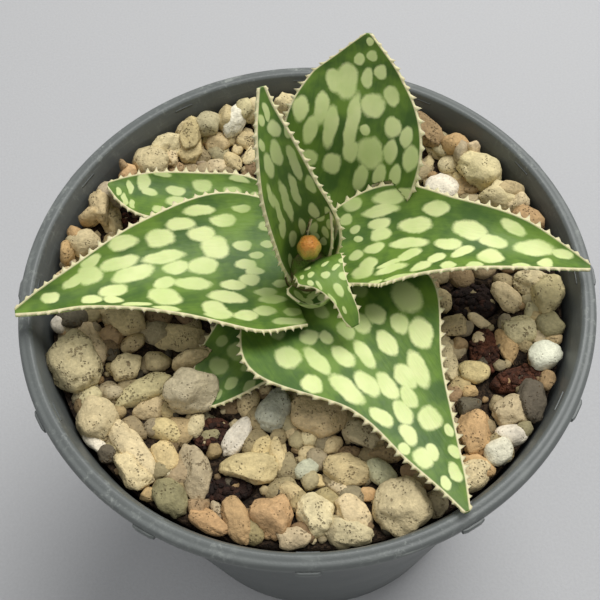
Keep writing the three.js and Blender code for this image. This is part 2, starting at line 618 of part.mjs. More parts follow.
function makeLeaf(leaf) {
  const teeth = Math.max(2, Math.round(midribLength(leaf) / TOOTH_PITCH));
  const sections = [leafSection(leaf, 0, 0, 0, 0)];
  for (let i = 0; i < teeth; i += 1) {
    sections.push(leafSection(leaf, (i + TOOTH_ROOT) / teeth, 0, 0, 0));
    sections.push(leafSection(leaf, (i + TOOTH_PEAK) / teeth, leaf.tooth * TOOTH_HEIGHT, 0, 0));
    sections.push(leafSection(leaf, (i + 1) / teeth, 0, 0, 0));
  }
  return skin(sections);
}

// The leaf's room: its outline out to the points of the teeth, larger by the gap all round.
function leafEnvelope(leaf) {
  const sections = [];
  for (let i = 0; i <= ENVELOPE_STEPS; i += 1) {
    const t = i / ENVELOPE_STEPS;
    const shift = i === 0 ? -GAP : (i === ENVELOPE_STEPS ? GAP : 0);
    sections.push(leafSection(leaf, t, leaf.tooth * TOOTH_HEIGHT, GAP, shift));
  }
  return skin(sections);
}

// Bud

function makeBud(grow) {
  const bud = new THREE.SphereGeometry(1, BUD_SIDES, 8);
  bud.rotateX(Math.PI / 2);
  bud.scale(BUD_RADIUS + grow, BUD_RADIUS + grow, BUD_HALF_LENGTH + grow);
  bud.rotateX(deg(BUD_TILT_DEG));
  bud.translate(...BUD_MIDDLE);
  return solid(bud);
}

const potPlastic = new THREE.MeshStandardMaterial({ color: 0x3c413f, roughness: 0.55, metalness: 0 });
const soilMix = new THREE.MeshStandardMaterial({ color: 0x2a1f18, roughness: 0.95, metalness: 0 });
const pumice = new THREE.MeshStandardMaterial({ color: 0xb5a688, roughness: 0.9, metalness: 0 });
const stemTissue = new THREE.MeshStandardMaterial({ color: 0x8c8f5c, roughness: 0.7, metalness: 0 });
const leafTissue = new THREE.MeshStandardMaterial({ color: 0x5f8a45, roughness: 0.45, metalness: 0 });
const budTissue = new THREE.MeshStandardMaterial({ color: 0xc88f3f, roughness: 0.6, metalness: 0 });

const plant = new THREE.Group();
plant.name = 'potted_snowstorm_aloe';
plant.add(meshOf(makePot(), 'pot', potPlastic));
plant.add(meshOf(makeSoil(), 'soil', soilMix));
plant.add(meshOf(makeStem(0), 'stem', stemTissue));
plant.add(meshOf(makeBud(0), 'bud', budTissue));

// Leaves from the heart outwards: each gives way to the ones already placed.
const placed = [makeStem(GAP), makeBud(GAP)];
const envelopes = [];
for (const [name, leaf] of Object.entries(LEAVES)) {
  const room = wasm.Manifold.union(placed);
  plant.add(meshOf(largestBody(makeLeaf(leaf).subtract(room)), name, leafTissue));
  const envelope = leafEnvelope(leaf);
  placed.push(envelope);
  envelopes.push(envelope);
}
plant.add(meshOf(makeGravel(envelopes), 'gravel', pumice));

export default plant;
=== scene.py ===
"""Potted snowstorm aloe: toothed and spotted leaves, a scuffed nursery pot and a pumice top dressing.

Metres, in the frame of the CAD model: origin under the middle of the pot, +Z up, +Y away from the viewer.
"""

import math

import bmesh
import bpy
import numpy as np
from bpy.props import FloatProperty, FloatVectorProperty, IntProperty, PointerProperty
from mathutils import Matrix, Vector, noise
from mathutils.bvhtree import BVHTree


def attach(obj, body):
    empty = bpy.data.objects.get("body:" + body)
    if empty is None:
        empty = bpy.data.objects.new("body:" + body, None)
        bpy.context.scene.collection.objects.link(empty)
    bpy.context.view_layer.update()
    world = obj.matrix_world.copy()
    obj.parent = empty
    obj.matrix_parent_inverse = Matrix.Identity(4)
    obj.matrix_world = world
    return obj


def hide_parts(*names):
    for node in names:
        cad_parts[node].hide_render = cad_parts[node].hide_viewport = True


bl_info = {
    "name": "Potted snowstorm aloe",
    "version": (1, 0, 0),
    "blender": (4, 5, 0),
    "location": "3D View > Sidebar > Aloe",
    "description": "Builds a variegated dwarf aloe in its nursery pot",
    "category": "Add Mesh",
}

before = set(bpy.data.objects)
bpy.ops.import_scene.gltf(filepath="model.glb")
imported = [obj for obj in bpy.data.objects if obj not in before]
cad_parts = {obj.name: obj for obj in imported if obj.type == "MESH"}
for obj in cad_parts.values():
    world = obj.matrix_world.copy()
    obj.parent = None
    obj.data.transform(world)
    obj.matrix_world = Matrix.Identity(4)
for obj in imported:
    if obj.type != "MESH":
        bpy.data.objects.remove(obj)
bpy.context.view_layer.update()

MM = 0.001
ROOT = "root"

# Pot, in millimetres
POT_HEIGHT = 93.0
BASE_RADIUS = 36.7
BASE_BEVEL = 1.5
FLOOR_THICKNESS = 1.6
WALL = 1.1
WALL_TOP_RADIUS = 47.6
WALL_TOP_Z = 89.4
RIM_RADIUS = 50.0
RIM_INNER_RADIUS = 47.9
RIM_BOTTOM_Z = 90.6
RIM_FLAT_Z = 92.8
RIM_FLAT_RADIUS = 48.8
RIM_BEVEL = 0.4
LUGS = 12
LUG_START = -3.0
LUG_WIDTH = 4.4
LUG_RADIUS = 50.5
LUG_ROOT_RADIUS = 47.0
LUG_BOTTOM_Z = 90.4
LUG_TOP_Z = 91.7
LUG_BEVEL = 0.2
LUG_END_BEVEL = 0.18
DRAINS = 6
DRAIN_RADIUS = 3.5
DRAIN_CIRCLE = 24.0
CREASE_ANGLE = math.radians(32)
WALL_RUB = 0.12
RIM_RUB = 0.88
INSIDE_RUB = 0.22

# Gravel, in millimetres
GAP = 0.3
BED_BOTTOM_Z = 82.0
BED_TOP_Z = 84.4
BED_EDGE_Z = 86.6
HEAP_START = 29.0
# A listed stone stands on the line from SEEN_FROM through its listed place at the height READ_Z.
READ_Z = 87.0
SEEN_FROM = (-1.0, -81.0, 227.0)
TALLEST_Z = 91.6
WIDEST_REACH = 3.4
STONE_SINK = 0.2
STONE_HEIGHT = 0.82
WALL_CLEARANCE = 0.5
LEAF_CLEARANCE = 0.25
LARGE_STONE = 6.4
# Half of a stone's listed size, and a little more because its corners are worn.
WORN_HALF = 0.53
# Painted shade: the lower stones between the listed ones are darkened by this share, for the shade they lie
# in under their neighbours.
LOWER_PAINTED_SHADE = 0.62
BACK_FROM_Y = 2.0
RIGHT_FROM_X = 2.0
# Opening of the potting mix round the stem: radius and height, from its mouth down.
STEM_HOLE = ((5.2, 81.5), (4.4, 75), (3.4, 62), (2.2, 53), (0, 51))
STONE_SEED = 77
GRIT_SEED = 5
SOIL_SEED = 31

# Bare soil: middle x, middle y, half length, half width, turn in degrees, height over the bed, dryness.
SOIL_PATCHES = (
    (30, -2.5, 4.6, 3.6, 0, 1.2, 0.05),
    (30.6, -12.5, 4.6, 2.6, 85, 0.6, 0.9),
    (35.6, -18.8, 5.2, 2.4, 5, 0.9, 0.95),
    (-17.2, -24.4, 3.6, 3.2, 0, 0.6, 0.55),
    (-15.4, -34.4, 4.6, 2.2, 0, 0.6, 0.15),
    (-33.2, 18.4, 3, 2.8, 0, 0.7, 0.7),
)

# Stone tones: colour as it looks, and how porous the stone is.
TONES = {
    "tan": ((204, 184, 138), 0.5),
    "cream": ((218, 199, 155), 0.45),
    "white": ((234, 227, 202), 0.2),
    "yellow": ((218, 196, 142), 0.4),
    "orange": ((200, 166, 118), 0.45),
    "brown": ((168, 141, 103), 0.6),
    "red": ((122, 76, 52), 0.5),
    # The dark tone is partly painted shade: some stones that lie in shade are listed with it.
    "dark": ((104, 96, 78), 0.7),
    "pink": ((200, 178, 146), 0.4),
    "grey": ((190, 174, 138), 0.6),
    "blue": ((190, 187, 162), 0.25),
    "green": ((204, 197, 158), 0.3),
    "olive": ((152, 143, 106), 0.4),
    "porous": ((206, 189, 146), 0.9),
}

# Top dressing in plan: middle x, middle y, length, width, turn in degrees, tone, and the rise of a stone
# that lies over a leaf.
STONES = (
    (-23.2, 43.8, 7.5, 3.9, 80, "tan"), (-18.6, 44.4, 5.6, 5, 0, "grey"), (-14, 45.4, 5.2, 4.2, 90, "tan"),
    (-11.6, 42.4, 8.5, 3.8, 65, "white"), (-9.8, 46.6, 4.5, 3.6, 90, "cream"),
    (-7.8, 44.6, 5, 4, 60, "cream"), (-21.4, 39.8, 4.4, 3.2, 20, "tan"),
    (-18.4, 40.5, 3.2, 2.6, 0, "orange"), (-15.8, 40.3, 3.8, 3.4, 0, "grey"),
    (-13.6, 41.6, 3.6, 2.4, -45, "tan"), (-26.4, 38.2, 6.6, 5, 20, "cream"),
    (-24.8, 34.6, 6.6, 3.2, 100, "cream"), (-31.2, 35.2, 9, 6.2, -25, "cream"),
    (-20.6, 35.3, 6.6, 5.2, 65, "tan"), (-15.2, 36.2, 5.6, 4.8, 90, "tan"),
    (-12.8, 37.2, 3.6, 3, 0, "tan"), (-9.6, 36.8, 4.2, 3.6, 60, "tan"), (-11.4, 34.3, 3.2, 2.2, 60, "tan"),
    (-8.6, 32.8, 5.6, 3, 70, "cream"), (-12.4, 31.4, 5, 3.2, -45, "tan"),
    (-15.4, 30.4, 4.2, 3.2, 0, "cream"), (-18.4, 31.6, 2.6, 2, -20, "pink"),
    (-20.2, 30.2, 3, 2.2, 0, "grey"), (-23.4, 30.4, 3.4, 2.6, 0, "brown"),
    (-26.4, 31.2, 2.8, 2.6, 90, "tan"), (-29.4, 30.2, 4.2, 2.6, 0, "pink"),
    (-34.2, 31.2, 4.6, 3.8, -30, "orange"), (-36, 33.6, 2.6, 1.6, -60, "brown"),
    (-38.2, 26.4, 5.4, 4.6, -20, "pink"), (-42.2, 24.8, 7, 4, -75, "tan"),
    (-40.2, 20.8, 4.6, 3, 20, "tan"), (-36.2, 20.4, 8.6, 4.2, -72, "tan"), (-38, 22.4, 5, 3, 25, "tan"),
    (-44, 16.4, 5, 3.4, -70, "orange"), (-44.4, 12.4, 4.6, 2.4, 90, "orange"),
    (-40.8, 14.3, 6.2, 5, 20, "cream"), (-46.6, 7.6, 4.6, 2.4, 20, "tan"), (-43.4, 10.2, 3, 2, 20, "pink"),
    (-1.5, 46.5, 4.6, 4, 0, "cream"), (24.3, 46.4, 7.6, 4.2, 85, "cream"),
    (28.6, 39.6, 9.4, 4.8, -50, "brown"), (26.4, 35.2, 4, 3, 60, "red"), (28.9, 32, 6.4, 3.8, 95, "grey"),
    (33.8, 33.8, 5.2, 4.2, -20, "orange"), (32.4, 29.8, 6, 3.2, 80, "pink"),
    (27.2, 30, 4.2, 1.6, -55, "cream"), (25.8, 27.4, 4.2, 2.2, 85, "tan"),
    (29.6, 26.9, 4.8, 4, 30, "cream"), (31, 23.8, 3.2, 2.2, 60, "tan"), (33.7, 25, 3.4, 3, 60, "grey"),
    (38.2, 27, 8.8, 6.6, -40, "cream"), (36.4, 31.2, 3, 2.6, 0, "cream"),
    (27.6, 21.4, 6.4, 5.4, -20, "white"), (33.6, 21.2, 4.8, 3.2, 15, "brown"),
    # The small dark stone at (37, 22.6) is painted shade: it is listed with the dark tone for the shade it
    # lies in.
    (37, 22.6, 3, 2, -20, "dark"), (42.4, 20.2, 5.4, 3.6, -20, "tan"),
    (38.6, 18.2, 8.4, 5.6, -25, "cream"), (42.2, 16.8, 4.4, 4, 0, "cream"),
    (33.2, 18.4, 3, 2.2, -20, "cream"), (44.8, 13.2, 6.4, 4.4, -45, "orange"),
    (-45.2, -2.6, 3.6, 3.2, 90, "white"), (-41.8, -1.4, 5.6, 5, -30, "dark"),
    (-44, -10.8, 14, 8.4, -70, "porous"), (-38.6, -7.2, 9.8, 5.4, -68, "cream"),
    (-38, -13.8, 3.4, 3, 0, "tan"), (-37.2, -21.8, 7.8, 7, 90, "cream"),
    (-37.6, -17.6, 4.6, 3.8, 90, "cream"), (-32.8, -2.2, 9, 6.4, -15, "tan"),
    # The brown stone at (-34.6, -5.6) is partly painted shade: it is listed darker for the shade it lies in.
    (-34.6, -5.6, 4.4, 4, -40, "brown"), (-34.6, -9.2, 3, 3, 0, "dark"), (-23.2, -6, 11.6, 6.6, -8, "tan"),
    (-30.8, -7.4, 4.6, 3.2, 35, "tan"), (-31.6, -12, 5.8, 5.2, 30, "porous"),
    (-26.4, -11.2, 4.6, 4.2, 0, "tan"), (-20.4, -11.4, 7, 2.9, 22, "tan", 4),
    (-28.8, -16.8, 10.4, 4.6, 27, "tan"), (-33.8, -16.8, 3.2, 3.6, 90, "grey"),
    (-20.4, -17.4, 8.8, 6.8, -5, "green", 3), (-27.6, -20.3, 5.8, 3.6, 12, "tan"),
    (-25, -24, 6, 3.8, -20, "yellow"), (-19.8, -23.6, 4.4, 3, 75, "cream"),
    (-30.4, -27.2, 13.2, 4.6, -56, "cream"), (-31.4, -31.7, 7.4, 4.8, -45, "cream"),
    (-24.9, -28.6, 5.6, 4, -60, "yellow"), (-24.2, -31.2, 3.2, 2.4, 0, "green"),
    (-20, -31.8, 10, 5.4, -82, "grey"), (-24.3, -36.2, 7, 4.8, -60, "olive"),
    (-19.4, -37.6, 3.6, 3, 0, "brown"), (-18.4, -41.6, 7, 3.6, -30, "orange"),
    (-13.7, -41.2, 8, 4.2, -66, "orange"), (-16.4, -38.2, 3.2, 1.8, -70, "grey"),
    (-8, -39.8, 8.2, 7.2, -60, "orange"), (-4.6, -36.2, 4.2, 3, -30, "tan"),
    (-4.6, -44.6, 5.4, 3.6, 0, "cream"), (-38.2, -26.8, 5.4, 2.2, -45, "white"),
    (-35.2, -28.2, 3, 3, 0, "dark"), (-27.8, -35.2, 2.6, 2.2, 0, "orange"),
    (-11.3, -19.6, 5.8, 4.4, 75, "tan"), (-6.4, -21.8, 8, 5.4, 50, "blue"),
    (-8.2, -17.8, 3, 2.4, 0, "tan"), (-12.9, -26.2, 7.6, 3.6, 55, "white"),
    (-11.2, -31.8, 9.4, 5, -5, "yellow"), (-6.4, -29.6, 8, 3.2, -80, "yellow"),
    (-9, -28.6, 5, 3.2, 60, "yellow"), (-17.4, -25.6, 3.2, 2, 10, "olive"),
    (-16.8, -28.4, 2.6, 2.6, 0, "brown"), (-3.8, -26.2, 3.2, 2.6, 0, "tan"),
    (-1.2, -27.2, 3, 3.2, 80, "cream"), (-3.2, -29, 2, 1.6, 0, "brown"), (-1.6, -29.6, 3, 2.2, 20, "tan"),
    (-1.8, -32.4, 4.6, 3, 30, "blue"), (-0.6, -34.6, 3.6, 2.2, 0, "yellow"),
    (-1, -40.2, 9.8, 5.8, 85, "cream"), (0.6, -23.4, 9.6, 7.4, -20, "tan"),
    (2.6, -28.8, 3.8, 3, 30, "tan"), (4.5, -33.1, 7.4, 5.6, -15, "tan"),
    (7.7, -27.2, 6.6, 4.4, -35, "grey"), (11, -30.8, 6, 3, -5, "brown"),
    (10.1, -34.1, 5.8, 3.8, -50, "green"), (14.8, -34.2, 3.6, 3, 40, "brown"),
    (3.4, -36, 5.2, 2.6, -40, "cream"), (7.4, -37.4, 3.4, 2.2, 0, "orange"),
    (4.9, -40.4, 6.6, 4.8, -50, "cream"), (12.7, -40.3, 11.6, 9, 15, "cream"),
    (4, -44.4, 7.8, 4, -15, "cream"), (18.8, -41.2, 4.4, 3.6, 45, "grey"),
    (25.9, -28.6, 8, 6.2, 70, "orange"), (25.6, -34, 5.8, 3.6, -30, "orange"),
    (26, -37.8, 7.2, 4.8, 20, "cream"), (30.9, -33.6, 4.8, 4.2, 20, "white"),
    (32, -29.3, 5.4, 3.8, 0, "white"), (33, -25, 6.8, 5, 20, "grey"), (38.2, -24.5, 7.4, 4.8, 70, "dark"),
    (36, -29.4, 3, 2.6, 60, "olive"), (25.8, -23.4, 4.4, 3.6, 30, "dark"),
    (23.6, -21.3, 3.8, 3, 80, "brown"), (23.7, -14.6, 8.8, 3.4, 88, "cream"),
    (26.4, -20.9, 2.8, 2.4, 0, "orange"), (27.7, -17.6, 5.2, 4, -5, "yellow"),
    (25.3, -8.4, 5.2, 4.4, 10, "tan"), (26, -12, 2.4, 3, 90, "brown"), (24.4, -3.2, 4.8, 3, 85, "tan"),
    (30, -7.7, 4.6, 2.2, -42, "cream"), (29.5, -11.1, 2.6, 2.2, 60, "cream"),
    (34.1, -12.8, 6.8, 3.2, -75, "orange"), (36.8, -10, 5.8, 5.4, 0, "porous"),
    (35.6, -3.2, 6.6, 4, -60, "cream"), (39.9, -6.6, 3.8, 3.2, 80, "grey"),
    (40.6, -11.2, 4.4, 3, 60, "grey"), (44.4, -10, 5, 4.4, 20, "olive"), (45, -3.8, 7.4, 5.8, 60, "tan"),
    (40.8, -0.8, 9.2, 5, -5, "porous"), (42, -15.8, 5.8, 5, 20, "white"),
    (38.4, -15.9, 3.6, 2.6, 90, "brown"), (41.4, -20.8, 3.8, 2.6, 60, "brown"),
)

STEM_PROFILE = ((1.6, 52), (2.6, 60), (3.6, 70), (4.2, 80), (4.4, 88), (3.9, 93), (2.6, 95.6))
STEM_AXIS = (1.0, 2.0)

# Leaves, from the heart outwards: heading, midrib from base to tip, half widths (place, left, right),
# channel angle (place, degrees), thickness at the base and size of the teeth.
LEAVES = {
    "leaf_young_inner": dict(
        heading=60,
        midrib=((3, 3, 96.4), (3.4, 3.8, 99.8), (3.8, 4.9, 104.3), (4.3, 6.1, 108.2)),
        half=((0, 2.2, 2.2), (0.33, 2.4, 2.4), (0.66, 1.7, 1.7), (1, 0.5, 0.5)),
        channel=((0, 55), (1, 30)), thickness=1.2, tooth=0.4),
    "leaf_young_front": dict(
        heading=-62,
        midrib=((0.8, 0.1, 97.2), (2.5, -1.9, 99.8), (4.4, -5, 100.2), (6.3, -8.6, 98.8), (7.8, -11.8, 96)),
        half=(
            (0, 3.6, 3.4), (0.17, 5, 4.3), (0.32, 4.2, 4.8), (0.48, 2.8, 3.2), (0.7, 1.8, 1.8),
            (0.9, 1.5, 1.5), (1, 0.8, 0.8),
        ),
        channel=((0, -14), (1, -12)), thickness=1.8, tooth=0.8),
    "leaf_sheath_front": dict(
        heading=-80,
        midrib=((1, -1.5, 91.5), (1.3, -3.8, 93), (1.8, -6, 94.2)),
        half=((0, 3.6, 3.6), (0.5, 4.6, 4.6), (1, 3.2, 3.2)),
        channel=((0, 50), (1, 50)), thickness=1.3, tooth=0.3),
    "leaf_upright": dict(
        heading=110,
        midrib=((0.5, 3.5, 92), (0, 4.4, 103), (-1.5, 6, 112), (-3, 9, 120), (-4.5, 13.8, 126)),
        half=((0, 5, 5), (0.2, 6.9, 6.8), (0.5, 6.1, 4.4), (0.75, 3.7, 2.3), (0.9, 1.8, 1), (1, 0.5, 0.5)),
        channel=((0, 75), (1, 30)), thickness=2.4, tooth=0.8),
    "leaf_right": dict(
        heading=-8,
        midrib=((4, 5, 91), (15, 5.5, 95), (25, 2.5, 99), (36, -1, 99.5), (48.3, -3.6, 96)),
        half=((0, 7, 8), (0.25, 10, 12.8), (0.5, 7, 9.5), (0.75, 5.2, 5.5), (0.9, 2.6, 2.6), (1, 0.5, 0.5)),
        channel=((0, 40), (1, 45)), thickness=3.2, tooth=0.9),
    "leaf_left": dict(
        heading=188,
        midrib=((-3, 5, 90), (-13, 3.5, 93), (-25, 0.5, 96), (-37, -3, 97), (-48.7, -5.2, 97)),
        half=((0, 15, 12.5), (0.25, 16.5, 14), (0.5, 10, 10.5), (0.75, 3, 6), (0.9, 1.8, 3), (1, 0.5, 0.5)),
        channel=((0, 25), (0.5, 40), (1, 55)), thickness=3.2, tooth=0.9),
    "leaf_back_right": dict(
        heading=64,
        midrib=((3, 9.4, 87), (8.2, 16.6, 93.4), (11.3, 22, 105), (13, 27.5, 112), (13.4, 31.5, 118)),
        half=(
            (0, 4, 8), (0.18, 7, 11), (0.33, 12, 12.3), (0.5, 13, 12.2), (0.75, 9.5, 6.8), (0.9, 4.5, 3),
            (1, 0.5, 0.5),
        ),
        channel=((0, 35), (1, 15)), thickness=3.0, tooth=1.0),
    "leaf_front_right": dict(
        heading=-65,
        midrib=((3, 1, 88.6), (8, -10, 91.2), (13.5, -22, 92.5), (18.3, -33.2, 93.2), (21.6, -43.3, 94.7)),
        half=((0, 14, 16), (0.25, 16, 19.5), (0.5, 8.8, 8.5), (0.75, 4, 4.6), (0.9, 2, 2), (1, 0.5, 0.5)),
        channel=((0, 20), (1, 10)), thickness=2.8, tooth=1.0),
    "leaf_back_left": dict(
        heading=168,
        midrib=((-3, 13, 88.5), (-10, 18.6, 90), (-18.5, 20.5, 91), (-27.5, 22, 92), (-35.3, 23.3, 93)),
        half=((0, 5, 4.5), (0.25, 8, 5.5), (0.5, 8, 4.8), (0.75, 7.5, 3.6), (0.9, 4.5, 2), (1, 0.5, 0.5)),
        channel=((0, 35), (1, 35)), thickness=2.4, tooth=1.0),
    "leaf_front_left": dict(
        heading=225,
        midrib=((-3, -3, 87.2), (-8, -9.5, 87.4), (-13, -14, 87), (-17, -17.5, 86.6), (-20, -20, 86.3)),
        half=((0, 6, 8), (0.25, 6.5, 9), (0.5, 5, 7.5), (0.75, 3, 5), (0.9, 1.6, 2.5), (1, 0.5, 0.5)),
        channel=((0, 20), (1, 12)), thickness=1.7, tooth=0.8),
}
